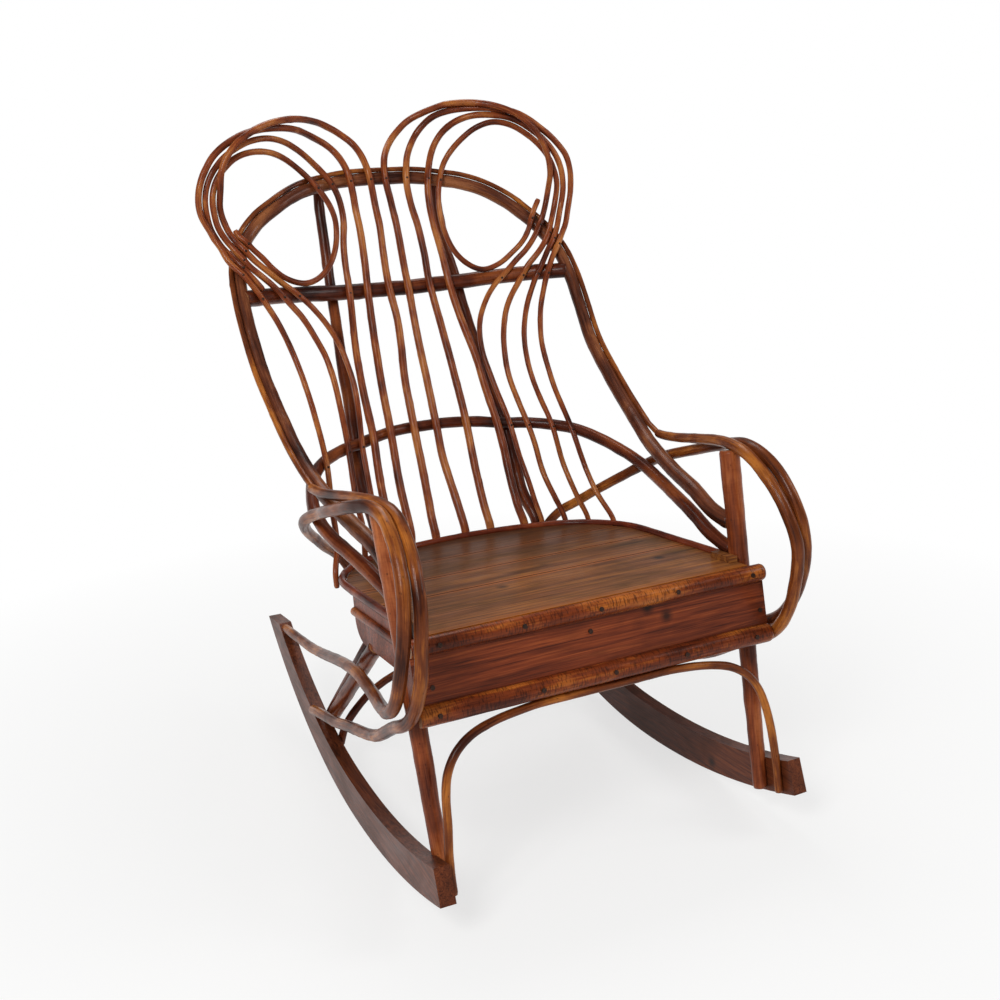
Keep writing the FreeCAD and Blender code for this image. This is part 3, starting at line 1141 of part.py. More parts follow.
doc.recompute()
failed = []
for obj in doc.Objects:
    if "Invalid" in obj.State or "Error" in obj.State:
        failed.append((obj.Name, obj.State))
for node, obj in NODES:
    if obj.Shape.isNull() or not obj.Shape.isValid() or not obj.Shape.Solids:
        failed.append((node, "shape"))
if failed:
    raise RuntimeError("failed pieces: %s" % failed)
total = 0.0
moment = Vector(0, 0, 0)
for node, obj in NODES:
    shape = obj.Shape
    for solid in shape.Solids:
        total += solid.Volume
        moment = moment + solid.CenterOfMass * solid.Volume
    shape.exportStep("parts/%s.step" % node)
    print("%-18s %2d solid %8.1f cm3" % (node, len(shape.Solids), shape.Volume / 1000.0))
box = FreeCAD.BoundBox()
for node, obj in NODES:
    box.add(obj.Shape.BoundBox)
print("box", box)
print("centre of mass", moment * (1 / total), "nodes", len(NODES))
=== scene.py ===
# %% [markdown]
# # A rocking chair of bent twigs
# The chair is made of bark-on hickory sticks, steamed, bent and nailed to two
# sawn runners and a boarded seat. The CAD model gives every solid its place;
# this script dresses it: each stick becomes a tapered, knotty tube under old
# varnish, and the sawn boards get soft edges and grain. All lengths of the
# routes are in millimetres, as the maker would measure them; z is up, the chair
# looks along -y, and the middle of the floor under it is the origin.

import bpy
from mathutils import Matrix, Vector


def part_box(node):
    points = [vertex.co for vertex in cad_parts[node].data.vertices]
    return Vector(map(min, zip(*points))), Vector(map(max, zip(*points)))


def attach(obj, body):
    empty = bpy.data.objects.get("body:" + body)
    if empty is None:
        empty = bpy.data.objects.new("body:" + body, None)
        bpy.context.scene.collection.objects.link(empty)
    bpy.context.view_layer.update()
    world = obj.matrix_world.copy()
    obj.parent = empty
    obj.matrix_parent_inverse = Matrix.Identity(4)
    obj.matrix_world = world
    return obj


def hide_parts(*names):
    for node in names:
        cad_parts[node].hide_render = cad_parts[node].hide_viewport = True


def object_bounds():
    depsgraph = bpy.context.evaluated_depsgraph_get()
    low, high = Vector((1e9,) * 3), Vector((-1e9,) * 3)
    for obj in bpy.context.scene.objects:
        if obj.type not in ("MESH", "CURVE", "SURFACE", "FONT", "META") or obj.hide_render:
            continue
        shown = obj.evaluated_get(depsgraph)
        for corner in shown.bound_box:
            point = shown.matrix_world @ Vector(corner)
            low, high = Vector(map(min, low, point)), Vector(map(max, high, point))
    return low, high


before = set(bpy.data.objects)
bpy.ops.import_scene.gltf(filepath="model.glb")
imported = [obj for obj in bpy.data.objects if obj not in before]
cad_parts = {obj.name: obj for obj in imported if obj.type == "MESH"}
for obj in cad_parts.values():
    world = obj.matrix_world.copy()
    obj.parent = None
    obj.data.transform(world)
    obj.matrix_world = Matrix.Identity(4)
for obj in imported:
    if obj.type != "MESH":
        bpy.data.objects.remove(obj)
print("nodes of the CAD model:", len(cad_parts))

# %% [markdown]
# The scene itself is in metres. The box round the plain CAD model is measured
# before anything is added, because the dressed chair may not be bigger.

# %% Helpers and units
import itertools
import math
import random

import bpy
import numpy as np
from mathutils import Matrix, Vector, noise

START_BOX = [list(map(float, corner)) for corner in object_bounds()]
MM = 0.001
print("CAD box in metres", START_BOX)


def unit(vector):
    vector = np.asarray(vector, float)
    return vector / max(np.linalg.norm(vector), 1e-12)


# %% [markdown]
# ## Where a stick runs
# A bent stick never has a sharp corner, so its route is a curve through a few
# given points. A spline object would also do, but the sticks lie
# over each other, and only a dense list of points can be lifted where two of
# them cross. The curve used here passes through every point and does not
# overshoot where the points are unevenly spaced.

# %% A smooth curve through given points
STEPS_PER_SPAN = 6


def smooth(points):
    """A dense curve through given points."""
    points = [np.asarray(point, float) for point in points]
    dense = []
    last = len(points) - 1
    for i in range(last):
        p0, p1 = points[max(i - 1, 0)], points[i]
        p2, p3 = points[i + 1], points[min(i + 2, last)]
        span = np.linalg.norm(p2 - p1)
        k0 = max(np.linalg.norm(p1 - p0), span / 2) ** 0.5
        k1 = span ** 0.5
        k2 = max(np.linalg.norm(p3 - p2), span / 2) ** 0.5
        t0, t1, t2, t3 = -k0, 0.0, k1, k1 + k2
        for j in range(STEPS_PER_SPAN):
            t = t2 * j / STEPS_PER_SPAN
            a1 = p0 * ((t1 - t) / (t1 - t0)) + p1 * ((t - t0) / (t1 - t0))
            a2 = p1 * ((t2 - t) / (t2 - t1)) + p2 * ((t - t1) / (t2 - t1))
            a3 = p2 * ((t3 - t) / (t3 - t2)) + p3 * ((t - t2) / (t3 - t2))
            b1 = a1 * ((t2 - t) / (t2 - t0)) + a2 * ((t - t0) / (t2 - t0))
            b2 = a2 * ((t3 - t) / (t3 - t1)) + a3 * ((t - t1) / (t3 - t1))
            dense.append(b1 * ((t2 - t) / (t2 - t1)) + b2 * ((t - t1) / (t2 - t1)))
    dense.append(points[last])
    return np.array(dense)


def route(table):
    return [np.array(row, float) for row in table]


def mirrored(points):
    """The same route on the other side of the chair."""
    return np.array([(-p[0], p[1], p[2]) for p in points])


def whole(half):
    """Both halves of a route that is the same left and right."""
    return smooth(list(mirrored(half)[:0:-1]) + list(half))


print("steps between two hand-set points:", STEPS_PER_SPAN)

# %% [markdown]
# ## How one stick lies over another
# At a crossing the upper stick rests on the lower one: the two centre lines are
# the two radii apart, plus a paper-thin gap. Lifting the point alone would make
# a kink, so the lift fades out over a hand's width, as in a springy stick.

# %% Laying a stick over others
TWIG_GAP = 0.35
BLEND = 85.0
LEAST_SLANT = 0.45
SETTLE_PASSES = 7
SETTLE_ROUNDS = 16
SHARED_PUSH = 0.45


def crossings(points, others, view):
    """Where two routes cross when looked at along the view direction."""
    axis = unit(view)
    side = unit(np.cross(axis, (0, 0, 1)))
    up = np.cross(side, axis)
    flat = np.stack([points @ side, points @ up], 1)
    flat_other = np.stack([others @ side, others @ up], 1)
    a, b = flat[:-1, None], flat[1:, None]
    c, d = flat_other[None, :-1], flat_other[None, 1:]
    det = (b - a)[..., 0] * (d - c)[..., 1] - (b - a)[..., 1] * (d - c)[..., 0]
    safe = np.where(abs(det) < 1e-9, 1.0, det)
    s = ((c - a)[..., 0] * (d - c)[..., 1] - (c - a)[..., 1] * (d - c)[..., 0]) / safe
    t = ((c - a)[..., 0] * (b - a)[..., 1] - (c - a)[..., 1] * (b - a)[..., 0]) / safe
    hit = (abs(det) >= 1e-9) & (s >= 0) & (s <= 1) & (t >= 0) & (t <= 1)
    found = []
    for i, j in np.argwhere(hit):
        step, other_step = points[i + 1] - points[i], others[j + 1] - others[j]
        here = points[i] + step * s[i, j]
        there = others[j] + other_step * t[i, j]
        slant = abs(unit(np.cross(step, other_step)) @ axis)
        found.append((i, here, there, max(slant, LEAST_SLANT)))
    return found


def lay(points, radius, supports):
    """Moves a route along the view direction onto what it crosses."""
    points = np.array(points, float)
    for _ in range(SETTLE_PASSES):
        for others, other_radius, view, reach in supports:
            axis = unit(view)
            for i, here, there, slant in crossings(points, others, view):
                if np.linalg.norm(here - there) > reach:
                    continue
                wanted = (radius + other_radius + TWIG_GAP) / slant
                shift = axis * (wanted - (here - there) @ axis)
                steps = np.linalg.norm(np.diff(points, axis=0), axis=1)
                run = np.zeros(len(points))
                run[i] = np.linalg.norm(points[i] - here)
                run[i + 1] = np.linalg.norm(points[i + 1] - here)
                run[:i] = run[i] + np.cumsum(steps[:i][::-1])[::-1]
                run[i + 2:] = run[i + 1] + np.cumsum(steps[i + 1:])
                weight = np.where(run < BLEND, (1 - (run / BLEND) ** 2) ** 2, 0.0)
                points = points + shift * weight[:, None]
    return points


print("gap between two sticks that touch: %.2f mm" % TWIG_GAP)

# %% [markdown]
# Where four rods run side by side in a bundle they also push each other. The
# sticks are moved apart a little at a time until nothing overlaps: the same
# idea as beads that are shaken until they lie still.

# %% Pushing sticks apart
def push(points, line, want):
    """For each point, the way out from a line that is nearer than wanted."""
    starts, runs = line[:-1], np.diff(line, axis=0)
    rel = points[:, None] - starts[None]
    share = (rel * runs).sum(2) / np.maximum((runs * runs).sum(1), 1e-9)
    near = starts + runs * np.clip(share, 0, 1)[..., None]
    away = points[:, None] - near
    gap = np.linalg.norm(away, axis=2)
    best = gap.argmin(1)
    rows = np.arange(len(points))
    gap, away = gap[rows, best], away[rows, best]
    short = np.where(gap < want, (want - gap) / np.maximum(gap, 1e-9), 0.0)
    return away * short[:, None]


def even_out(shifts):
    """Spreads the shift of a point over its neighbours."""
    before = np.vstack([shifts[:1], shifts[:-1]])
    after = np.vstack([shifts[1:], shifts[-1:]])
    return (before + shifts * 2 + after) / 3


def keep_off(points, radius, others):
    """Moves a route until it is clear of other sticks."""
    for _ in range(SETTLE_PASSES):
        for line, other_radius in others:
            points = points + even_out(push(points, line, radius + other_radius + TWIG_GAP))
    return points


def settle(rods, radius, fixed):
    """Moves a bundle of rods until they are clear of each other and the rest."""
    rods = [np.array(rod) for rod in rods]
    for _ in range(SETTLE_ROUNDS):
        for a in range(len(rods)):
            shifts = np.zeros_like(rods[a])
            for b in range(len(rods)):
                if a != b:
                    shifts = shifts + push(rods[a], rods[b], 2 * radius + TWIG_GAP) * SHARED_PUSH
            rods[a] = rods[a] + even_out(shifts)
        for a in range(len(rods)):
            for line, other_radius in fixed:
                want = radius + other_radius + TWIG_GAP
                rods[a] = rods[a] + even_out(push(rods[a], line, want))
    return rods


print("rounds in which a bundle settles:", SETTLE_ROUNDS)

# %% [markdown]
# ## The seat and the runners, as lines to measure from
# Many sticks start at the seat's rear edge or at a runner. The seat is a D that
# falls a little to the rear, and a runner's lower edge is two arcs. Their sizes
# are repeated here so that a foot can be placed exactly on them.

# %% Seat edge and runner edges
SEAT_FRONT = np.array([0.0, -339.6, 389.0])
SEAT_TILT = math.radians(4.3)
SEAT_THICKNESS = 13.0
SEAT_HALF_WIDTH = 248.0
SEAT_LENGTH = 454.1
SEAT_CORNER = 150.0
SEAT_REAR_RADIUS = 441.0
RIM_RADIUS = 6.0
JOINT_GAP = 0.2
RIM_OUT = RIM_RADIUS + JOINT_GAP
HALVINGS = 40


def on_seat(x, along, lift):
    """Point by its place on the seat and its height above the boards."""
    cos, sin = math.cos(SEAT_TILT), math.sin(SEAT_TILT)
    return SEAT_FRONT + (x, along * cos + lift * sin, lift * cos - along * sin)


REAR_CENTRE = SEAT_LENGTH - SEAT_REAR_RADIUS
CORNER_X = SEAT_HALF_WIDTH - SEAT_CORNER
CORNER_ALONG = REAR_CENTRE + math.sqrt((SEAT_REAR_RADIUS - SEAT_CORNER) ** 2 - CORNER_X ** 2)
MEET_ANGLE = math.atan2(CORNER_X, CORNER_ALONG - REAR_CENTRE)


def rear_edge(angle, offset):
    """Point beside the rear edge, by its direction from the middle line."""
    if abs(angle) <= MEET_ANGLE:
        radius = SEAT_REAR_RADIUS + offset
        return radius * math.sin(angle), REAR_CENTRE + radius * math.cos(angle)
    radius = SEAT_CORNER + offset
    hand = math.copysign(1, angle)
    return hand * CORNER_X + radius * math.sin(angle), CORNER_ALONG + radius * math.cos(angle)


def rear_foot(x, out, lift):
    """Foot behind the rim, at a distance from the middle line."""
    low, high = 0.0, math.pi / 2
    for _ in range(HALVINGS):
        middle = (low + high) / 2
        if rear_edge(middle, RIM_OUT)[0] < x:
            low = middle
        else:
            high = middle
    spot = rear_edge(low, RIM_OUT + RIM_RADIUS + out)
    return on_seat(spot[0], spot[1], lift)


print("the rear of the seat is at y = %.0f mm" % on_seat(0, SEAT_LENGTH, 0)[1])

# %% [markdown]
# A runner is a sawn board on edge. It touches the floor a little in front of
# the chair's middle, and from there its two edges rise as arcs, flatter to the
# front than to the rear. Both runners are turned in a little towards the rear.

# %% Runner faces
RUNNER_REST = -56.8
RUNNER_OUTSIDE = 276.0
RUNNER_THICKNESS = 22.0
RUNNER_HEIGHT = 58.0
RUNNER_TOE = math.radians(1.5)
FRONT_RADIUS = 1130.0
REAR_RADIUS = 800.0


def runner_inside(y):
    """Sideways place of a runner's inner face."""
    return (RUNNER_OUTSIDE - math.tan(RUNNER_TOE) * (y - RUNNER_REST)
            - RUNNER_THICKNESS / math.cos(RUNNER_TOE))


def runner_top(y):
    """Height of a runner's upper edge."""
    back = y - RUNNER_REST
    radius = REAR_RADIUS if back > 0 else FRONT_RADIUS
    return radius - math.sqrt((radius - RUNNER_HEIGHT) ** 2 - back ** 2)


print("runner %.0f mm high where it rests" % runner_top(RUNNER_REST))

# %% [markdown]
# ## The thick sticks of the back
# One long stick, an inch thick at its ends, is bent from post to post over the
# top: the outer bow. A second one goes round at the height of the arms, and a
# slightly curved bar crosses the back. The tables hold one half of each. Each
# bow ends inside a post, at the height given here.

# %% Routes of bows and crossbar
BOW = [
    (0, 392, 942), (70, 390, 940), (110, 383, 934), (142, 371, 928), (173, 357, 917),
    (200, 347, 903), (226, 342, 887), (248, 333, 868), (270, 313, 843), (287, 279, 807),
    (293, 249, 768), (294, 222, 728), (291, 170, 655), (288, 113, 607), (285, 55, 565),
    (281, 8, 537), (275, -35, 515), (268, -85, 497), (260, -145, 481), (254, -204, 467),
    (253, -247, 448),
]
MID = [
    (0, 245, 526), (50, 240, 526), (90, 226, 524), (130, 206, 520), (170, 182, 519),
    (205, 153, 515), (232, 122, 509), (255, 80, 496), (271, 32, 481), (278, -12, 468),
    (276, -69, 453), (268, -125, 442), (259, -190, 428), (252, -250, 410),
]
BAR = [
    (0, 345, 755), (60, 342, 756), (120, 333, 758), (180, 316, 762), (235, 288, 766),
    (270, 265, 768), (292, 250, 769),
]
BOW_RADIUS, MID_RADIUS, BAR_RADIUS = 10.5, 9.5, 11.5
BOW_END_HEIGHT, MID_END_HEIGHT = 432.0, 391.0
POST_FOOT, POST_TOP = np.array([253.0, -368.0, 50.0]), np.array([268.0, -268.5, 540.5])
POST_FOOT_RADIUS, POST_TOP_RADIUS = 10.5, 15.0


def post_at(z):
    """Centre and radius of the right post at a height."""
    share = (z - POST_FOOT[2]) / (POST_TOP[2] - POST_FOOT[2])
    return POST_FOOT + (POST_TOP - POST_FOOT) * share, (
        POST_FOOT_RADIUS + (POST_TOP_RADIUS - POST_FOOT_RADIUS) * share)


bow_route = whole(route(BOW) + [post_at(BOW_END_HEIGHT)[0]])
mid_route = whole(route(MID) + [post_at(MID_END_HEIGHT)[0]])
bar_route = whole(route(BAR))
print("outer bow: %d points, top at %.0f mm" % (len(bow_route), bow_route[:, 2].max()))

# %% [markdown]
# A thin twig follows the outer bow, on top of it in the middle and on its outer
# side at the shoulders. Near the arms it leaves the bow and ends where the inner
# twig of the arm begins.

# %% Route of the thin twig
TWIG_RADIUS = 4.25
KINK, KINK_RUN = np.array([290.0, -46.0, 523.0]), 35
SHOULDER_X = 250
TWIG_FORWARD, TWIG_UP, SHOULDER_DROP = 0.15, 1.15, 0.55
thin_half = []
for i in range(len(bow_route) // 2, len(bow_route) - 1):
    point = bow_route[i]
    if point[1] < KINK[1] + KINK_RUN:
        break
    along = unit(bow_route[i + 1] - bow_route[i - 1])
    share = min(point[0] / SHOULDER_X, 1)
    away = np.array([share * share, -TWIG_FORWARD, TWIG_UP - share * SHOULDER_DROP])
    away = away - along * (away @ along)
    thin_half.append(point + unit(away) * (BOW_RADIUS + TWIG_RADIUS + TWIG_GAP))
thin_half.append(KINK)
thin_route = np.array(list(mirrored(thin_half)[:0:-1]) + thin_half)
print("thin twig: %d points" % len(thin_route))

# %% [markdown]
# A bent stick edges the seat at its sides and rear. It starts behind the front
# corners and lies against the boards, its middle a little above their top.

# %% Route of the seat rim
RIM_STEPS, RIM_START, RIM_LIFT = 44, 0.1537, 0.25
rim_angles = [math.pi / 2 * k / RIM_STEPS for k in range(-RIM_STEPS, RIM_STEPS + 1)]
rim_ends = [(hand * (SEAT_HALF_WIDTH + RIM_OUT), RIM_START * SEAT_LENGTH) for hand in (-1, 1)]
rim_plan = rim_ends[:1] + [rear_edge(angle, RIM_OUT) for angle in rim_angles] + rim_ends[1:]
rim_route = np.array([on_seat(x, along, RIM_LIFT * RIM_RADIUS) for x, along in rim_plan])
print("seat rim: %d points" % len(rim_route))

# %% [markdown]
# ## Arms
# Each arm is two twigs. The inner one passes over the post, turns down in front
# and runs back to the runner; the outer one wraps the bows and lies beside it.

# %% Routes of the arms
INNER_ARM = [
    (290, -40, 522), (290, -64, 523), (288, -95, 526), (285, -140, 533), (281, -190, 541),
    (275, -240, 548), (268, -285, 549), (265, -318, 543), (266, -350, 525),
    (269, -380, 498), (273, -401, 466), (277, -412, 436), (279, -412, 405),
    (279, -407, 375), (280, -398, 345), (281, -383, 316), (282, -362, 291),
    (283, -335, 272), (282, -300, 255), (279, -260, 232), (276, -215, 206),
    (273, -160, 182), (271, -105, 164), (270, -45, 146), (269.5, 20, 125), (269.5, 75, 112),
    (269.5, 120, 101), (268.5, 160, 89.5),
]
OUTER_ARM = [
    (158, 152, 245), (170, 160, 290), (188, 165, 332), (209, 154, 358), (231, 129, 378),
    (252, 98, 402), (274, 62, 427), (288, 28, 448), (296, -6, 466), (296, -45, 483),
    (294, -90, 498), (299, -140, 513), (297, -190, 528), (293, -240, 542), (286, -282, 550),
    (283, -318, 546), (285, -352, 530), (288, -382, 500), (293, -401, 462),
    (297, -405, 425), (299, -400, 394), (300, -390, 366), (300, -374, 334),
    (299, -350, 306), (296, -318, 287), (290, -278, 276), (283, -230, 271),
    (278, -180, 269), (273, -120, 264), (268, -50, 250), (264, 20, 232), (260, 100, 211),
    (257, 170, 195), (256, 235, 185), (256, 290, 178), (256, 345, 171),
]
ARM_RADIUS = 8.5
inner_route = keep_off(smooth(route(INNER_ARM)), ARM_RADIUS, [(bow_route, BOW_RADIUS)])
outer_route = keep_off(smooth(route(OUTER_ARM)), ARM_RADIUS, [
    (inner_route, ARM_RADIUS), (bow_route, BOW_RADIUS), (mid_route, MID_RADIUS),
    (rim_route, RIM_RADIUS)])
print("arm twigs: %d and %d points" % (len(inner_route), len(outer_route)))

# %% [markdown]
# ## Hoops
# Two arched twigs stiffen the base between the posts and between the rear legs.
# The rear one is let into the runners. The front one stands beside them; its
# table gives the sideways place in millimetres, the step in y from the top of
# the hoop, and the share of the hoop's height.

# %% Routes of the hoops
REAR_HOOP = [
    (0, 40, 195), (50, 42, 192), (95, 48, 184), (150, 60, 165), (190, 73, 139),
    (220, 81, 107), (237, 86, 81),
]
REAR_HOOP_RADIUS, REAR_HOOP_Y = 6.5, 90.0
REAR_HOOP_INWARD, REAR_HOOP_DOWN = 0.6, 0.40
rear_hoop_route = whole(route(REAR_HOOP) + [np.array([
    runner_inside(REAR_HOOP_Y) - REAR_HOOP_INWARD * REAR_HOOP_RADIUS, REAR_HOOP_Y,
    runner_top(REAR_HOOP_Y) - REAR_HOOP_DOWN * RUNNER_HEIGHT])])

FRONT_HOOP_RADIUS = 5.75
hoop_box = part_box("front_hoop")
hoop_top = hoop_box[1][2] / MM - FRONT_HOOP_RADIUS
hoop_y = hoop_box[1][1] / MM - FRONT_HOOP_RADIUS
FRONT_HOOP = [
    (55, 0, 1.0), (110, 0, 0.998), (170, -2, 0.972), (200, -4, 0.940), (225, -8, 0.882),
    (241, -13, 0.800), (249, -20, 0.700), (253, -30, 0.560),
]
FRONT_HOOP_FEET = [(-37, 0.38), (-44, 0.22)]
hoop_half = [np.array([0, hoop_y, hoop_top])]
hoop_half += [np.array([x, hoop_y + back, share * hoop_top]) for x, back, share in FRONT_HOOP]
for back, share in FRONT_HOOP_FEET:
    inside = runner_inside(hoop_y + back) - FRONT_HOOP_RADIUS - TWIG_GAP
    hoop_half.append(np.array([inside, hoop_y + back, share * hoop_top]))
front_hoop_route = whole(hoop_half)
print("front hoop top at %.0f mm, rear hoop top at %.0f mm"
      % (front_hoop_route[:, 2].max(), rear_hoop_route[:, 2].max()))

# %% [markdown]
# ## The ears
# Three thin rods a side rise behind the seat as the spindles of the back and
# turn over into a loop at the top corner. A fourth starts at the bow's shoulder
# and makes the inner loop. All come down as a bundle past the shoulder and fan
# out to the seat again. They were bent by hand, and left and right differ, so
# each has its own table; the left ones are laid out as if on the right and
# mirrored at the end.

# %% Routes of the rods, right
RIGHT_ROD_1 = [
    (15, 147, 391), (13, 174, 434), (11, 198, 474), (14, 226, 524), (16, 264, 605),
    (16, 286, 655), (17, 310, 710), (18, 327, 752), (17, 337, 785), (16, 347, 827),
    (15, 358, 868), (11, 368, 907), (7, 376, 940), (9, 385, 963), (18, 402, 981),
    (32, 416, 999), (50, 422, 1018), (72, 420, 1037), (97, 407, 1050), (123, 384, 1059),
    (151, 355, 1062), (179, 332, 1059), (206, 313, 1051), (233, 304, 1038),
    (259, 298, 1016), (276, 296, 992), (287, 297, 964), (292, 300, 937), (292, 302, 905),
    (285, 303, 877), (272, 300, 855), (256, 297, 836), (232, 293, 810), (212, 294, 790),
    (192, 297, 771), (172, 298, 753), (152, 293, 730), (130, 280, 689), (122, 258, 643),
    (126, 232, 596), (134, 193, 527), (138, 162, 469), (142, 142, 434), (146, 122, 392),
]
RIGHT_ROD_2 = [
    (60, 147, 396), (62, 180, 454), (66, 217, 520), (67, 239, 565), (65, 271, 635),
    (62, 298, 694), (59, 318, 737), (57, 330, 769), (57, 340, 810), (54, 354, 858),
    (47, 367, 907), (45, 375, 938), (49, 384, 959), (60, 402, 981), (76, 414, 1003),
    (93, 410, 1025), (110, 399, 1041), (133, 378, 1051), (170, 348, 1053), (205, 327, 1047),
    (240, 317, 1038), (271, 311, 1020), (292, 308, 1005), (311, 306, 987),
    (326.5, 304, 966), (333.5, 303, 940), (333.5, 303, 908), (326, 300, 876),
    (314, 291, 848), (296, 279, 828), (282, 270, 813), (267, 266, 792), (256, 261, 771),
    (241, 249, 738), (230, 238, 708), (217, 214, 655), (215, 183, 601), (216, 152, 554),
    (218, 128, 519), (223, 97, 469), (231, 57, 410),
]
RIGHT_ROD_3 = [
    (116, 128, 386), (115, 150, 427), (116, 176, 479), (115, 201, 526), (112, 227, 574),
    (109, 257, 632), (101, 283, 682), (95, 304, 724), (92, 326, 770), (89, 339, 813),
    (83, 351, 858), (81, 363, 901), (84, 372, 934), (91, 380, 959), (103, 391, 984),
    (117, 390, 1007), (134, 376, 1026), (153, 358, 1037), (173, 345, 1041),
    (197, 333, 1041), (223, 324, 1034), (248, 317, 1022), (272, 312, 1006), (290, 309, 990),
    (305, 306, 970), (315, 304, 946), (318, 303, 922), (317, 302, 900), (311, 300, 874),
    (299, 293, 848), (283, 283, 828), (267, 278, 811), (250, 272, 785), (238, 269, 763),
    (222, 261, 735), (209, 252, 709), (194, 235, 663), (188, 211, 616), (190, 178, 562),
    (194, 152, 523), (198, 118, 460), (206, 83, 404),
]
RIGHT_ROD_4 = [
    (276, 302, 892), (269, 304, 880), (258, 305, 863), (243, 302, 840), (221, 299, 816),
    (199, 301, 795), (177, 306, 782), (155, 313, 777), (132, 322, 788), (114, 332, 808),
    (103, 342, 835), (98, 351, 866), (98, 359, 894), (102, 365, 921), (109, 370, 944),
    (118, 375, 962), (131, 373, 981), (148, 361, 1001), (168, 347, 1018), (190, 335, 1027),
    (212, 326, 1028), (233, 320, 1021), (253, 316, 1008), (273, 312, 990), (290, 308, 969),
    (302, 306, 944), (307, 304, 918), (305, 303, 892), (297, 302, 868), (284, 297, 845),
    (270, 287, 828), (258, 283, 815), (242, 283, 797), (228, 283, 781), (210, 281, 756),
    (192, 277, 732), (178, 270, 708), (162, 252, 664), (154, 225, 606), (157, 194, 553),
    (161, 174, 520), (165, 156, 487), (168, 129, 437), (176, 105, 399),
]
RIGHT_RODS = [RIGHT_ROD_1, RIGHT_ROD_2, RIGHT_ROD_3, RIGHT_ROD_4]
print("points on the right rods:", [len(rod) for rod in RIGHT_RODS])

# %% [markdown]
# The left ear is a little lower. Its third rod ends at the bow's shoulder and
# does not come down to the seat again.

# %% Routes of the rods, left
LEFT_ROD_1 = [
    (38, 144, 388), (34, 169, 428), (31, 191, 466), (28, 219, 512), (26, 237, 546),
    (24, 265, 610), (17, 289, 663), (14, 309, 708), (17, 327, 753), (18, 337, 786),
    (17, 347, 827), (16, 358, 870), (18, 370, 915), (22, 378, 950), (26, 400, 980),
    (36, 416, 1003), (56, 421, 1021), (90, 409, 1037), (137, 371, 1044), (181, 335, 1041),
    (216, 314, 1033), (248, 302, 1019), (272, 297, 1001), (290, 297, 976), (300, 300, 943),
    (300, 302, 910), (292, 302, 878), (279, 299, 851), (258, 295, 824), (232, 290, 799),
    (214, 292, 784), (193, 295, 766), (174, 295, 748), (157, 290, 726), (143, 282, 702),
    (132, 271, 674), (126, 255, 641), (123, 240, 609), (126, 222, 575), (132, 204, 546),
    (137, 187, 515), (139, 162, 471), (140, 143, 433), (142, 121, 390),
]
LEFT_ROD_2 = [
    (83, 128, 374), (82, 148, 409), (81, 168, 442), (78, 192, 483), (73, 224, 537),
    (69, 262, 618), (64, 293, 683), (61, 311, 721), (58, 327, 757), (55, 338, 798),
    (53, 350, 842), (54, 362, 889), (56, 372, 927), (60, 381, 955), (65, 400, 977),
    (72, 412, 991), (85, 412, 1003), (105, 401, 1013), (139, 372, 1025), (162, 353, 1029),
    (190, 338, 1030), (218, 327, 1028), (246, 318, 1022), (272, 311, 1011), (299, 307, 993),
    (315, 305, 973), (325, 303, 951), (329.5, 303, 918), (325, 301, 890), (316, 297, 864),
    (302, 285, 840), (291, 267, 814), (282, 259, 800), (271, 257, 783), (257, 252, 758),
    (243, 242, 729), (232, 228, 696), (222, 207, 649), (217, 182, 604), (216, 160, 567),
    (218, 140, 537), (221, 118, 500), (226, 90, 455), (232, 55, 408),
]
LEFT_ROD_3 = [
    (120, 126, 384), (118, 150, 430), (115, 177, 479), (110, 205, 530), (109, 224, 566),
    (108, 246, 610), (105, 269, 654), (100, 292, 699), (95, 311, 733), (92, 325, 765),
    (91, 336, 806), (87, 347, 842), (81, 355, 870), (81, 362, 898), (87, 369, 925),
    (99, 376, 948), (115, 380, 967), (133, 371, 983), (152, 358, 996), (176, 343, 1008),
    (203, 331, 1014), (231, 322, 1012), (258, 315, 1003), (284, 309, 987), (304, 306, 966),
    (317, 305, 944), (325, 304, 920), (322, 303, 895), (314, 300, 871), (303, 291, 849),
    (288, 276, 824), (270, 270, 799), (256, 268, 780),
]
LEFT_ROD_4 = [
    (280, 300, 873), (271, 300, 859), (258, 299, 844), (244, 297, 828), (230, 294, 810),
    (212, 295, 795), (189, 302, 784), (167, 310, 780), (144, 319, 786), (127, 326, 798),
    (112, 335, 816), (102, 343, 837), (97, 350, 859), (97, 356, 880), (103, 362, 902),
    (113, 366, 922), (129, 365, 943), (150, 357, 963), (178, 342, 982), (206, 329, 992),
    (233, 320, 994), (258, 314, 989), (280, 310, 977), (298, 307, 958), (310, 305, 936),
    (314, 304, 914), (312, 303, 890), (304, 301, 868), (292, 294, 845), (276, 278, 822),
    (256, 278, 803), (237, 280, 785), (222, 280, 768), (207, 277, 748), (192, 274, 728),
    (177, 265, 697), (165, 252, 664), (160, 235, 629), (161, 204, 576), (165, 178, 534),
    (169, 154, 493), (172, 130, 448), (171, 108, 400),
]
LEFT_RODS = [LEFT_ROD_1, LEFT_ROD_2, LEFT_ROD_3, LEFT_ROD_4]
print("points on the left rods:", [len(rod) for rod in LEFT_RODS])
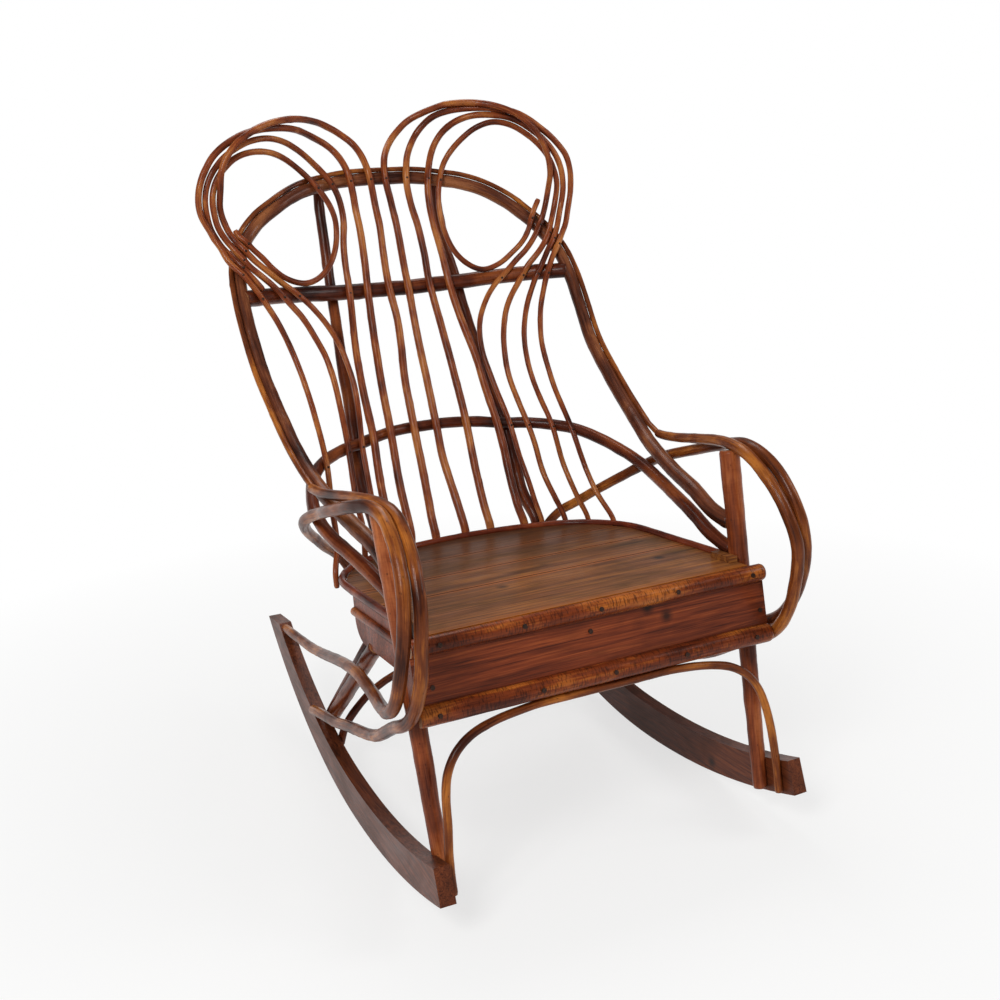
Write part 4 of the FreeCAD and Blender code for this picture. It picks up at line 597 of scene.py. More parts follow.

# %% [markdown]
# The tables were given one point at a time, so the rods still run through the bars
# and each other. First each rod gets its feet behind the rim: the pairs give the first
# and the last foot by their distance from the middle line, and 0 is an end
# without a foot. Then it is laid over the bars, and the four of an ear settle
# together.

# %% Rods laid over the bars and settled
ROD_RADIUS = 5.6
ROD_FOOT_LOW, ROD_FOOT_HIGH = -1.3 * SEAT_THICKNESS, 0.4 * SEAT_THICKNESS
FRONT, BACK, REACH = (0, -1, 0), (0, 1, 0), 60.0
RIGHT_FEET = [(16, 146), (60, 235), (117, 209), (0, 180)]
LEFT_FEET = [(37, 142), (83, 238), (120, 0), (0, 170)]
bars = [(bow_route, BOW_RADIUS, FRONT, REACH), (bar_route, BAR_RADIUS, FRONT, REACH),
        (mid_route, MID_RADIUS, FRONT, REACH), (thin_route, TWIG_RADIUS, FRONT, REACH)]
solid_bars = [(bow_route, BOW_RADIUS), (thin_route, TWIG_RADIUS), (bar_route, BAR_RADIUS),
              (mid_route, MID_RADIUS), (rim_route, RIM_RADIUS)]


def rod_foot(x):
    """The two lowest points of a rod, behind the rim."""
    out = ROD_RADIUS + TWIG_GAP
    return [rear_foot(x, out, ROD_FOOT_LOW), rear_foot(x, out, ROD_FOOT_HIGH)]


def ear(tables, feet):
    """The four rods of one ear, lying over the bars and clear of each other."""
    laid = []
    for table, (first, last) in zip(tables, feet):
        line = route(table)
        if first:
            line = rod_foot(first) + line
        if last:
            line = line + rod_foot(last)[::-1]
        laid.append(lay(smooth(line), ROD_RADIUS, bars))
    return settle(laid, ROD_RADIUS, solid_bars)


right_rods = ear(RIGHT_RODS, RIGHT_FEET)
left_rods = ear(LEFT_RODS, LEFT_FEET)
print("rod lengths, right, mm:",
      [round(float(np.linalg.norm(np.diff(rod, axis=0), axis=1).sum())) for rod in right_rods])

# %% [markdown]
# ## Uprights
# Two thick uprights stand behind everything else and carry the back. Their
# feet stand behind those of the rods, and right and left differ a little.

# %% Routes of the uprights
UPRIGHT_RIGHT = [
    (109, 405, 937), (112, 400, 890), (114, 378, 812), (120, 366, 777), (124, 349, 731),
    (129, 316, 668), (133, 286, 609), (137, 254, 551), (141, 228, 506), (142, 190, 450),
    (140, 158, 400),
]
UPRIGHT_LEFT = [
    (106, 404, 937), (108, 398, 890), (111, 372, 805), (113, 352, 748), (121, 312, 675),
    (127, 280, 620), (130, 253, 573), (134, 229, 534), (138, 210, 499), (142, 182, 446),
    (138, 152, 400),
]
UPRIGHT_RADIUS = 10.0
UPRIGHT_FOOT_HIGH, UPRIGHT_FOOT_LOW = 0.5 * SEAT_THICKNESS, -1.6 * SEAT_THICKNESS
RIGHT_UPRIGHT_X, LEFT_UPRIGHT_X = 139, 133


def upright_line(table, foot, rods):
    """An upright behind bows and crossbar, clear of the rods in front of it."""
    out = UPRIGHT_RADIUS + 2 * ROD_RADIUS
    line = route(table) + [rear_foot(foot, out, UPRIGHT_FOOT_HIGH),
                           rear_foot(foot, out, UPRIGHT_FOOT_LOW)]
    line = lay(smooth(line), UPRIGHT_RADIUS, [
        (bow_route, BOW_RADIUS, BACK, REACH), (bar_route, BAR_RADIUS, BACK, REACH),
        (mid_route, MID_RADIUS, BACK, REACH)])
    return keep_off(line, UPRIGHT_RADIUS, [
        (rods[2], ROD_RADIUS), (rods[0], ROD_RADIUS), (rim_route, RIM_RADIUS)])


upright_right = upright_line(UPRIGHT_RIGHT, RIGHT_UPRIGHT_X, right_rods)
upright_left = upright_line(UPRIGHT_LEFT, LEFT_UPRIGHT_X, left_rods)
print("uprights: %d and %d points" % (len(upright_right), len(upright_left)))

# %% [markdown]
# ## Finishes: how a material is put together
# Every finish below is a small graph of nodes. One function adds a node with
# its settings and its links, and one turns the colours, which are read as
# ordinary screen colours, into the linear values that the shader works with.
# Two more do what a finisher does over and over: spread a mottle of a given
# size, and lay a stain over a colour where something asks for it.

# %% Colour and node helpers
def linear(code):
    """An sRGB hex colour as linear red, green, blue and alpha."""
    parts = [int(code[k:k + 2], 16) / 255 for k in (1, 3, 5)]
    return [p / 12.92 if p <= 0.04045 else ((p + 0.055) / 1.055) ** 2.4 for p in parts] + [1.0]


def add(tree, kind, inputs=(), stops=(), **settings):
    """Adds a node. Its inputs are a list, filled from the top, or go by name,
    and each is a socket to link or a plain value."""
    made = tree.nodes.new(kind)
    for key, value in settings.items():
        setattr(made, key, value)
    for key, value in (inputs.items() if isinstance(inputs, dict) else enumerate(inputs)):
        if isinstance(value, bpy.types.NodeSocket):
            tree.links.new(value, made.inputs[key])
        else:
            made.inputs[key].default_value = value
    for k, (place, colour) in enumerate(stops):
        ramp = made.color_ramp
        stop = ramp.elements[k] if k < 2 else ramp.elements.new(place)
        stop.position, stop.color = place, linear(colour)
    return made


def finish(name, roughness, **gloss):
    """A new material: its tree and its shader, with the even values set."""
    material = bpy.data.materials.new(name)
    material.use_nodes = True
    tree = material.node_tree
    shader = tree.nodes["Principled BSDF"]
    shader.inputs["Roughness"].default_value = roughness
    for key, value in gloss.items():
        shader.inputs[key.replace("_", " ")].default_value = value
    return material, tree, shader


def mottle(tree, place, sizes_mm, detail=2.0, rough=0.5, distortion=0.0):
    """Noise whose spots have these sizes in millimetres along x, y and z."""
    scaled = add(tree, "ShaderNodeMapping", {
        "Vector": place, "Scale": [1 / (size * MM) for size in sizes_mm]}).outputs[0]
    return add(tree, "ShaderNodeTexNoise", {
        "Vector": scaled, "Scale": 1.0, "Detail": detail, "Roughness": rough,
        "Distortion": distortion}).outputs[0]


def stained(tree, colour, stain, value, bare, full, strength):
    """Lays a stain over a colour: none of it where the value is at bare, and
    as much as its strength where the value is at full."""
    share = add(tree, "ShaderNodeMapRange", [value, bare, full, 0.0, strength]).outputs[0]
    return add(tree, "ShaderNodeMix", {0: share, 6: colour, 7: linear(stain)},
               data_type="RGBA").outputs[2]


print("amber varnish in linear light:", [round(part, 3) for part in linear("#B86E2C")[:3]])

# %% [markdown]
# ## Bark under varnish
# The sticks kept their bark. It is thin and smooth on young hickory, with long
# fibres, darker weathered patches, small pores and fine wrinkles across the
# inside of each bend. Many coats of amber varnish lie over it, so it shines,
# red-brown in the hollows and orange where it was rubbed. The old varnish is
# dull at a slant, so both its gloss and its index are set lower than those of
# a new one. The pattern must follow the bend, so each vertex carries its place
# on the straight stick before bending in an attribute called grain, in metres,
# with z along the stick.

# %% Bark: the recipe
FIBRE_LENGTH, PATCH_LENGTH, WRINKLE_WIDTH = 22, 3.2, 5
TONE_RUN_MM, PORE_CELL_MM = (70, 70, 150), (7, 7, 15)
FIBRE_SHARE, PATCH_SHARE, RUN_SHARE = 0.22, 0.40, 0.38


def bark(name, dark, middle, light, shadow, fibre_mm=2.4, patch_mm=24.0, wrinkle_mm=2.6,
         wrinkle=0.08):
    # A real fibre is about 0.3 mm wide, too fine for this picture, so it is
    # drawn some 2 mm wide.
    material, tree, shader = finish(
        name, 0.4, Coat_Weight=0.32, Coat_Roughness=0.16, Coat_IOR=1.34,
        Specular_IOR_Level=0.1, IOR=1.45)
    place = add(tree, "ShaderNodeAttribute", attribute_name="grain").outputs["Vector"]
    fibres = mottle(tree, place, (fibre_mm, fibre_mm, fibre_mm * FIBRE_LENGTH), 3.0, 0.6)
    patches = mottle(tree, place, (patch_mm, patch_mm, patch_mm * PATCH_LENGTH), 4.0, 0.55, 0.4)
    runs = mottle(tree, place, TONE_RUN_MM)
    wrinkles = mottle(tree, place, (
        wrinkle_mm * WRINKLE_WIDTH, wrinkle_mm * WRINKLE_WIDTH, wrinkle_mm), 2.0, 0.5, 0.3)

    tone = 0.0
    for part, share in ((fibres, FIBRE_SHARE), (patches, PATCH_SHARE), (runs, RUN_SHARE)):
        tone = add(tree, "ShaderNodeMath", [part, share, tone], operation="MULTIPLY_ADD").outputs[0]
    colour = add(tree, "ShaderNodeValToRGB", [tone], [
        (0.4, dark), (0.6, light), (0.5, middle)]).outputs[0]
    cells = add(tree, "ShaderNodeMapping", {
        "Vector": place, "Scale": [1 / (size * MM) for size in PORE_CELL_MM]}).outputs[0]
    pores = add(tree, "ShaderNodeTexVoronoi", {"Vector": cells, "Scale": 1.0}).outputs["Distance"]
    colour = stained(tree, colour, shadow, pores, 0.15, 0.05, 0.6)
    colour = stained(tree, colour, shadow, wrinkles, 0.5, 0.38, wrinkle)
    tree.links.new(colour, shader.inputs["Base Color"])

    height = fibres
    for part, share in ((wrinkles, wrinkle), (patches, 1.2)):
        height = add(tree, "ShaderNodeMath", [part, share, height],
                     operation="MULTIPLY_ADD").outputs[0]
    bump = add(tree, "ShaderNodeBump", {
        "Height": height, "Strength": 0.35, "Distance": 0.8 * MM}).outputs[0]
    tree.links.new(bump, shader.inputs["Normal"])
    tree.links.new(bump, shader.inputs["Coat Normal"])
    dull = add(tree, "ShaderNodeMapRange", [patches, 0.3, 0.7, 0.5, 0.28]).outputs[0]
    tree.links.new(dull, shader.inputs["Roughness"])
    print("bark finish:", name)
    return material


# %% [markdown]
# The recipe serves seven kinds of stick. They differ in how dark the varnish
# has gone, from the bent arms, rubbed orange, to the uprights at the back that
# no hand ever polished, and in how big their patches and wrinkles are. A split
# rail shows strong wrinkles, because its bark dried over a flat back.

# %% Bark: the seven kinds
BENT_TWIG = bark("varnished_hickory_bark", "#381508", "#763A18", "#B86E2C", "#210D06")
BOW_BARK = bark("weathered_bow_bark", "#2C130C", "#65341F", "#9A5F3A", "#1C0B07", patch_mm=30.0)
THIN_ROD = bark("varnished_rod_bark", "#451A0C", "#863F1F", "#B97238", "#260F07",
                fibre_mm=1.8, patch_mm=18.0, wrinkle_mm=2.0)
DARK_STICK = bark("darkened_hickory_bark", "#2B110A", "#5E2814", "#8F4A24", "#190A06",
                  patch_mm=34.0, wrinkle=0.15)
POST_BARK = bark("rubbed_post_bark", "#4A1C0D", "#86401F", "#B5683A", "#240E07",
                 patch_mm=36.0, wrinkle=0.1)
RIM_BARK = bark("stained_rim_bark", "#33110A", "#6A2A16", "#934624", "#1B0A06",
                patch_mm=26.0, wrinkle=0.12)
RAIL_BARK = bark("split_rail_bark", "#451A0C", "#7C3616", "#B8682A", "#220D06",
                 fibre_mm=3.0, patch_mm=30.0, wrinkle_mm=1.9, wrinkle=0.6)
print("bark finishes made")

# %% [markdown]
# Where a stick was sawn off, the end shows pale heartwood that took the varnish
# dark at the rim. A plain radial pattern would look drawn, so the end only gets
# a warm brown with fine pores.

# %% Sawn ends
END_PORE_MM = (1.2, 1.2, 1.2)
SAWN_END, end_tree, end_shader = finish("sawn_hickory_end", 0.55, IOR=1.5)
end_place = add(end_tree, "ShaderNodeAttribute", attribute_name="grain").outputs["Vector"]
end_colour = add(end_tree, "ShaderNodeValToRGB", [mottle(end_tree, end_place, END_PORE_MM)], [
    (0.35, "#6E4326"), (0.65, "#A97446")]).outputs[0]
end_tree.links.new(end_colour, end_shader.inputs["Base Color"])
print("finish of the sawn ends:", SAWN_END.name)

# %% [markdown]
# ## Sawn boards
# Seat, apron and runners are sawn wood: pine, and ash for the runners. The grain
# runs along each board: it is noise, stretched along the board and drawn tight
# across it. Wide soft stains come from hands and weather, thin dark streaks are
# pitch, and the small dark blots are knots and the rust round old nails. The
# varnish is older and duller than that of the sticks.

# %% Boards: the recipe
RING_LENGTH, STREAK_MM, STREAK_WIDTH = 38, 300.0, 1.6
PORE_MM, PORE_LENGTH_MM = 1.6, 60.0
STAIN_MM, STAIN_LENGTH, BLOT_MM = 75.0, 2.2, 95.0
BLOT_COLOUR = "#160B07"


def board(name, dark, middle, light, stain, along, ring_mm, stain_share, roughness,
          streak_share=0.4):
    """A sawn board whose grain runs along axis 0, 1 or 2 of the room."""
    material, tree, shader = finish(
        name, roughness, Coat_Weight=0.15, Coat_Roughness=0.25, Coat_IOR=1.36,
        Specular_IOR_Level=0.15, IOR=1.45)
    place = add(tree, "ShaderNodeTexCoord").outputs["Object"]

    def sizes(across_mm, along_mm):
        return [along_mm if axis == along else across_mm for axis in range(3)]

    rings = mottle(tree, place, sizes(ring_mm, ring_mm * RING_LENGTH), 4.0, 0.6, 1.2)
    pores = mottle(tree, place, sizes(PORE_MM, PORE_LENGTH_MM))
    stains = mottle(tree, place, sizes(STAIN_MM, STAIN_MM * STAIN_LENGTH), 4.0, 0.6, 0.6)
    streaks = mottle(tree, place, sizes(ring_mm * STREAK_WIDTH, STREAK_MM), 3.0, 0.6, 0.8)
    blots = add(tree, "ShaderNodeMapping", {
        "Vector": place, "Scale": [1 / (BLOT_MM * MM)] * 3}).outputs[0]
    blots = add(tree, "ShaderNodeTexVoronoi", {"Vector": blots, "Scale": 1.0}).outputs["Distance"]

    tone = add(tree, "ShaderNodeMath", [pores, 0.35], operation="MULTIPLY").outputs[0]
    tone = add(tree, "ShaderNodeMath", [rings, 0.65, tone], operation="MULTIPLY_ADD").outputs[0]
    colour = add(tree, "ShaderNodeValToRGB", [tone], [
        (0.36, dark), (0.64, light), (0.5, middle)]).outputs[0]
    colour = stained(tree, colour, stain, stains, 0.46, 0.66, stain_share)
    colour = stained(tree, colour, dark, streaks, 0.42, 0.32, streak_share)
    colour = stained(tree, colour, BLOT_COLOUR, blots, 0.13, 0.03, 0.85)

    height = add(tree, "ShaderNodeMath", [pores, 0.5, rings], operation="MULTIPLY_ADD").outputs[0]
    bump = add(tree, "ShaderNodeBump", {
        "Height": height, "Strength": 0.45, "Distance": 0.5 * MM}).outputs[0]
    tree.links.new(bump, shader.inputs["Normal"])
    dull = add(tree, "ShaderNodeMapRange", [
        stains, 0.3, 0.7, roughness - 0.1, roughness + 0.12]).outputs[0]
    tree.links.new(dull, shader.inputs["Roughness"])
    tree.links.new(colour, shader.inputs["Base Color"])
    print("board finish:", name)
    return material, tree, shader, colour, place


# %% [markdown]
# Apron and runners take the recipe as it is. The runners' grain runs along y,
# from the front of the chair to its rear, and shows few streaks.

# %% Apron and runner wood
apron_wood = board("varnished_pine_apron", "#43190B", "#76331A", "#964A26", "#3A170C",
                   along=0, ring_mm=7.0, stain_share=0.55, roughness=0.4)[0]
runner_wood = board("stained_ash_runner", "#3A180C", "#63301A", "#7E4225", "#2C170D",
                    along=1, ring_mm=4.0, stain_share=0.5, roughness=0.42, streak_share=0.15)[0]
print("finishes of apron and runners made")

# %% [markdown]
# ## What use did to the seat, and its painted shade
# Legs rubbed the front edge of the seat bare, and it was varnished again, so it
# is orange on top; its lower half faces down and gets painted shade, as dark as
# the bark rail under it. Painted shade darkens the seams between the planks,
# beside a narrow orange rim. The rear, under the rods, gets painted shade and a
# painted dark reflection. All these are stains laid where a place on the seat
# asks for them; a painted image would do the same but need redoing for each change of size.

# %% Seat wood
EDGE_WEAR_Y, SEAT_EDGE_COLOUR = (-0.322, -0.3385), "#B0631F"
# Painted shade: the lower half of the front edge and the seams between the planks.
UNDER_EDGE_SHADE_COLOUR, SEAM_RIM_COLOUR, SEAM_SHADE_COLOUR = "#3E1B0C", "#B5652A", "#1C0E07"
# Painted shade and dark reflection towards the rear of the seat.
SHADED_REAR_Y, REAR_SHADE_COLOUR = (-0.16, 0.09), "#3A1E10"
SEAM_TILT = 0.001

seat_wood, seat_tree, seat_shader, seat_colour, seat_place = board(
    "worn_pine_seat_with_painted_shade", "#4A250F", "#7E4A26", "#A5692F", "#453319",
    along=0, ring_mm=7.0, stain_share=0.6, roughness=0.5, streak_share=0.22)
seat_parts = add(seat_tree, "ShaderNodeSeparateXYZ", [seat_place])
seat_y, seat_z = seat_parts.outputs["Y"], seat_parts.outputs["Z"]
seat_colour = stained(seat_tree, seat_colour, SEAT_EDGE_COLOUR, seat_y, *EDGE_WEAR_Y, 0.6)

# Painted shade on the lower half of the front edge, which faces down.
_, edge_y, edge_top = on_seat(0, 0, 0) * MM
shaded_low_half = add(seat_tree, "ShaderNodeMapRange", [
    seat_z, edge_top - 0.0065, edge_top - 0.003, 0.85, 0.0]).outputs[0]
in_front = add(seat_tree, "ShaderNodeMapRange", [
    seat_y, edge_y + 0.004, edge_y + 0.001, 0.0, 1.0]).outputs[0]
under = add(seat_tree, "ShaderNodeMath", [shaded_low_half, in_front], operation="MULTIPLY").outputs[0]
seat_colour = stained(seat_tree, seat_colour, UNDER_EDGE_SHADE_COLOUR, under, 0.0, 1.0, 1.0)

for plank in ("seat_board_2", "seat_board_3", "seat_board_4"):
    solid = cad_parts[plank]
    seam = min((solid.matrix_world @ Vector(corner)).y for corner in solid.bound_box) + SEAM_TILT
    away = add(seat_tree, "ShaderNodeMath", [seat_y, seam], operation="SUBTRACT").outputs[0]
    away = add(seat_tree, "ShaderNodeMath", [away], operation="ABSOLUTE").outputs[0]
    seat_colour = stained(seat_tree, seat_colour, SEAM_RIM_COLOUR, away, 0.009, 0.003, 0.75)
    # Painted shade in the gap of each seam.
    seat_colour = stained(seat_tree, seat_colour, SEAM_SHADE_COLOUR, away, 0.0026, 0.0012, 0.9)
    print("seam in front of %s at y = %.3f m" % (plank, seam))
# Painted shade and dark reflection, growing towards the rear of the seat.
seat_colour = stained(seat_tree, seat_colour, REAR_SHADE_COLOUR, seat_y, *SHADED_REAR_Y, 0.72)
seat_tree.links.new(seat_colour, seat_shader.inputs["Base Color"])

# %% [markdown]
# Cut nails hold everything. Their heads are iron, rusted brown under the
# varnish, so they are dark, rough and hardly metallic any more.

# %% Nail iron
RUST_MM = (1.5, 1.5, 1.5)
NAIL_IRON, nail_tree, nail_shader = finish("rusted_iron_nail", 0.5, Metallic=0.6)
nail_place = add(nail_tree, "ShaderNodeTexCoord").outputs["Object"]
rust = add(nail_tree, "ShaderNodeValToRGB", [mottle(nail_tree, nail_place, RUST_MM, 3.0)], [
    (0.35, "#1B1310"), (0.7, "#4A2C1C")]).outputs[0]
nail_tree.links.new(rust, nail_shader.inputs["Base Color"])
print("finish of the nails:", NAIL_IRON.name)

# %% [markdown]
# ## From a line to a stick
# A round stick is rings of points along its route, joined by faces. A curve
# object with a bevel would be shorter to write, but it gives an even pipe; the
# rings can taper, swell at each knot and be a little out of round, which is
# what makes it look grown. Each ring is turned from the one before along with
# the bend, so the bark does not twist.

# %% Rings along a route
RING_STEP, ROUTE_POLISH = 4.0, 3
OFF_AXIS = (0.31, 0.42, 0.85)


def evenly(points, step=RING_STEP):
    """The same route with points at even distances, and those distances."""
    run = np.concatenate([[0], np.cumsum(np.linalg.norm(np.diff(points, axis=0), axis=1))])
    marks = np.linspace(0, run[-1], max(int(round(run[-1] / step)), 6) + 1)
    even = np.stack([np.interp(marks, run, points[:, k]) for k in range(3)], 1)
    for _ in range(ROUTE_POLISH):
        even[1:-1] = (even[:-2] + 2 * even[1:-1] + even[2:]) / 4
    return even, marks


def ring_frames(points):
    """Direction of the route and two directions across it at each point."""
    along = np.gradient(points, axis=0)
    along /= np.linalg.norm(along, axis=1)[:, None]
    across = [unit(np.cross(along[0], OFF_AXIS))]
    for direction in along[1:]:
        across.append(unit(across[-1] - direction * (across[-1] @ direction)))
    across = np.array(across)
    return along, across, np.cross(along, across)


print("rings of the outer bow:", len(evenly(bow_route)[1]))

# %% [markdown]
# ## What makes a stick look grown
# A sapling is never quite round, and its surface waves by a few hundredths of
# its thickness. Buds left knots, 5 to 15 cm apart: small swellings, stronger on
# one side. Each stick draws its knots from a seed of its own, so the chair comes
# out the same every time.

# %% Taper, waves and knots
WAVE_MM, WAVE, RIPPLE = 24, 0.05, 0.018
WAVES_ROUND, RIPPLE_FINER, SEED_SHIFT = 0.55, 3.1, Vector((3.7, 1.3, 0))
FIRST_KNOT_MM, NEXT_KNOT_MM, BARE_END_MM = (20, 80), (55, 150), 15
KNOT_LENGTH, KNOT_ALL_ROUND = 0.9, 0.35


def grown_radius(marks, angles, radius, taper, seed, knots):
    """Radius at each ring and angle."""
    dice = random.Random(seed)
    total = marks[-1]
    even = np.interp(marks / total, np.linspace(0, 1, len(taper)), taper)
    grid = np.repeat(even[:, None], len(angles), 1)
    shift = seed * SEED_SHIFT
    for i, mark in enumerate(marks):
        for j, angle in enumerate(angles):
            rim = Vector((math.cos(angle) * WAVES_ROUND, math.sin(angle) * WAVES_ROUND,
                          mark / WAVE_MM)) + shift
            grid[i, j] *= 1 + WAVE * noise.noise(rim) + RIPPLE * noise.noise(rim * RIPPLE_FINER)
    place = dice.uniform(*FIRST_KNOT_MM)
    while knots and place < total - BARE_END_MM:
        lean, size = dice.uniform(0, math.tau), dice.uniform(0.4, 1.0) * knots
        ring = np.exp(-((marks - place) / (KNOT_LENGTH * radius)) ** 2)[:, None]
        side = np.clip(np.cos(angles - lean), 0, 1)[None] ** 3
        grid = grid * (1 + size * ring * (KNOT_ALL_ROUND + (1 - KNOT_ALL_ROUND) * side))
        place += dice.uniform(*NEXT_KNOT_MM)
    return grid * radius


print("knots are %d to %d mm apart" % NEXT_KNOT_MM)

# %% [markdown]
# ## A mesh that takes the place of a solid
# Each stick's mesh rides on the chair's one body, replaces the plain solid of
# its node and says which finish it wears. No point may stand outside the box
# of the CAD model, so the points are held in it; that only shaves a knot or two.

# %% Mesh and place of a piece
def dress(obj, node):
    """Puts a piece on the chair in place of its plain CAD solid."""
    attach(obj, "root")
    if node:
        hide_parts(node)


def give_mesh(name, points, faces, grain, materials, flat_from=None):
    """A mesh object from points in millimetres, with its grain attribute."""
    low, high = np.array(START_BOX[0]), np.array(START_BOX[1])
    mesh = bpy.data.meshes.new(name)
    mesh.from_pydata(np.clip(np.array(points) * MM, low, high).tolist(), [], faces)
    stored = mesh.attributes.new("grain", "FLOAT_VECTOR", "POINT")
    stored.data.foreach_set("vector", np.array(grain, np.float32).ravel() * MM)
    mesh.uv_layers.new(name="UVMap")
    for material in materials:
        mesh.materials.append(material)
    for k, polygon in enumerate(mesh.polygons):
        capped = flat_from is not None and k >= flat_from
        polygon.use_smooth = not capped
        polygon.material_index = 1 if capped and len(materials) > 1 else 0
    mesh.validate()
    obj = bpy.data.objects.new(name, mesh)
    bpy.context.scene.collection.objects.link(obj)
    return obj


print("pieces are held between", START_BOX[0], "and", START_BOX[1])

# %% [markdown]
# ## The stick itself
# The edge of each sawn end is taken off by a millimetre, as with a knife, and
# the end is closed with a fan of faces round a raised middle. The grain of each
# stick starts at another place of the pattern, so no two sticks show the same
# patches.

# %% A stick from its route
FIRST_SEED = 11
END_INSET, END_BULGE = 1.0, 0.4
GRAIN_APART = 700
seeds = itertools.count(FIRST_SEED)


def stick(node, points, radius, material, taper=(1, 1), sides=18, knots=0.1):
    """A grown stick along a route, with sawn and slightly rounded ends."""
    seed = next(seeds)
    points, marks = evenly(np.asarray(points, float))
    along, across, over = ring_frames(points)
    angles = np.arange(sides) * math.tau / sides
    grid = grown_radius(marks, angles, radius, taper, seed, knots)
    round_off = min(END_INSET, radius * 0.15)
    vertices, grain, faces = [], [], []
    last = len(points) - 1
    for i in range(last + 1):
        inset = round_off if i in (0, last) else 0
        turn = np.cos(angles)[:, None] * across[i] + np.sin(angles)[:, None] * over[i]
        vertices += list(points[i] + turn * (grid[i] - inset)[:, None])
        grain += [(radius * math.cos(angle), radius * math.sin(angle),
                   marks[i] + seed * GRAIN_APART) for angle in angles]
    for i in range(last):
        for j in range(sides):
            k = (j + 1) % sides
            near, far = i * sides, (i + 1) * sides
            faces.append((near + j, near + k, far + k, far + j))
    flat_from = len(faces)
    for ring, sign in ((0, -1), (last, 1)):
        vertices.append(points[ring] + along[ring] * sign * END_BULGE)
        grain.append((0, 0, marks[ring] + seed * GRAIN_APART))
        middle = len(vertices) - 1
        for j in range(sides):
            here, there = ring * sides + j, ring * sides + (j + 1) % sides
            faces.append((there, here, middle) if sign < 0 else (here, there, middle))
    obj = give_mesh(node + "_stick", vertices, faces, grain, [material, SAWN_END], flat_from)
    dress(obj, node)
    print("%s: %.0f mm long, %.1f mm thick" % (node, marks[-1], 2 * radius))


# %% [markdown]
# ## Bows, crossbar and uprights
# Now the sticks of the back get their thickness and finish. No sapling is even
# along its length; the numbers are shares of the thickness in the CAD, from one
# end to the other. The bows and the knotty crossbar are a little thicker at
# their ends. The bows stop where they butt against the posts.

# %% Sticks of the back
IN_POST = 0.6
UPRIGHT_TAPER = (0.86, 0.92, 1.0, 1.06)


def up_to_posts(points):
    """The part of a bow that lies outside the two posts it butts against."""
    kept = []
    axis = unit(POST_TOP - POST_FOOT)
    for point in points:
        centre, radius = post_at(point[2])
        arm = np.array([abs(point[0]), point[1], point[2]]) - centre
        if np.linalg.norm(arm - axis * (arm @ axis)) > IN_POST * radius:
            kept.append(point)
    return kept


stick("outer_bow", up_to_posts(bow_route), BOW_RADIUS, BOW_BARK,
      (1.12, 1.08, 1.0, 1.0, 1.02, 1.0, 1.0, 1.08, 1.12), 24, 0.07)
stick("mid_bow", up_to_posts(mid_route), MID_RADIUS, DARK_STICK,
      (1.1, 1.02, 1.0, 1.02, 1.1), 22, 0.07)
stick("crossbar", bar_route, BAR_RADIUS, DARK_STICK, (1.16, 1.12, 1.16), 22, 0.12)
stick("top_twig", thin_route, TWIG_RADIUS, BENT_TWIG,
      (1.1, 1.0, 0.95, 1.0, 1.1), 14, 0.2)
for hand, line in (("right", upright_right), ("left", mirrored(upright_left))):
    stick("upright_" + hand, line, UPRIGHT_RADIUS, DARK_STICK, UPRIGHT_TAPER, 22, 0.1)

# %% [markdown]
# ## The rods of the two ears
# A rod stands with its thick butt on the seat and ends in a thin tip. The
# fourth rod of each ear starts as a loop, so both its ends are thin.

# %% Rods
ROD_TAPER = (1.28, 1.2, 1.05, 0.95, 0.85, 0.8)
LOOP_TAPER = (0.85, 0.9, 0.92, 0.85)
for hand, rods in (("right", right_rods), ("left", [mirrored(rod) for rod in left_rods])):
    for number, rod in enumerate(rods, start=1):
        stick("ear_rod_%s_%d" % (hand, number), rod, ROD_RADIUS, THIN_ROD,
              ROD_TAPER if number < 4 else LOOP_TAPER, 16, 0.1)
print("rods made:", len(right_rods) + len(left_rods))

# %% [markdown]
# ## Arms, posts and the base
# The arms are bent twigs; the posts widen upwards and are the only sticks that
# hands and sleeves have rubbed on all sides. The rear legs stand on the inner
# edges of the runners, and their struts end beside the inner faces.

# %% Sticks of arms, posts and base
LEG_RADIUS, LEG_Y, LEG_BITE = 11.5, 128, 0.25
STRUT_RADIUS, STRUT_Y, STRUT_DOWN = 6.5, 170, 0.45
SIDE_BOARD_HEIGHT, SIDE_BOARD_THICKNESS = 66, 16
LEG_TOP, STRUT_TOP = 0.4955 * SEAT_LENGTH, 0.556 * SEAT_LENGTH


def straight(foot, top, parts=12):
    """A straight route from foot to top."""
    return [foot + (top - foot) * k / parts for k in range(parts + 1)]


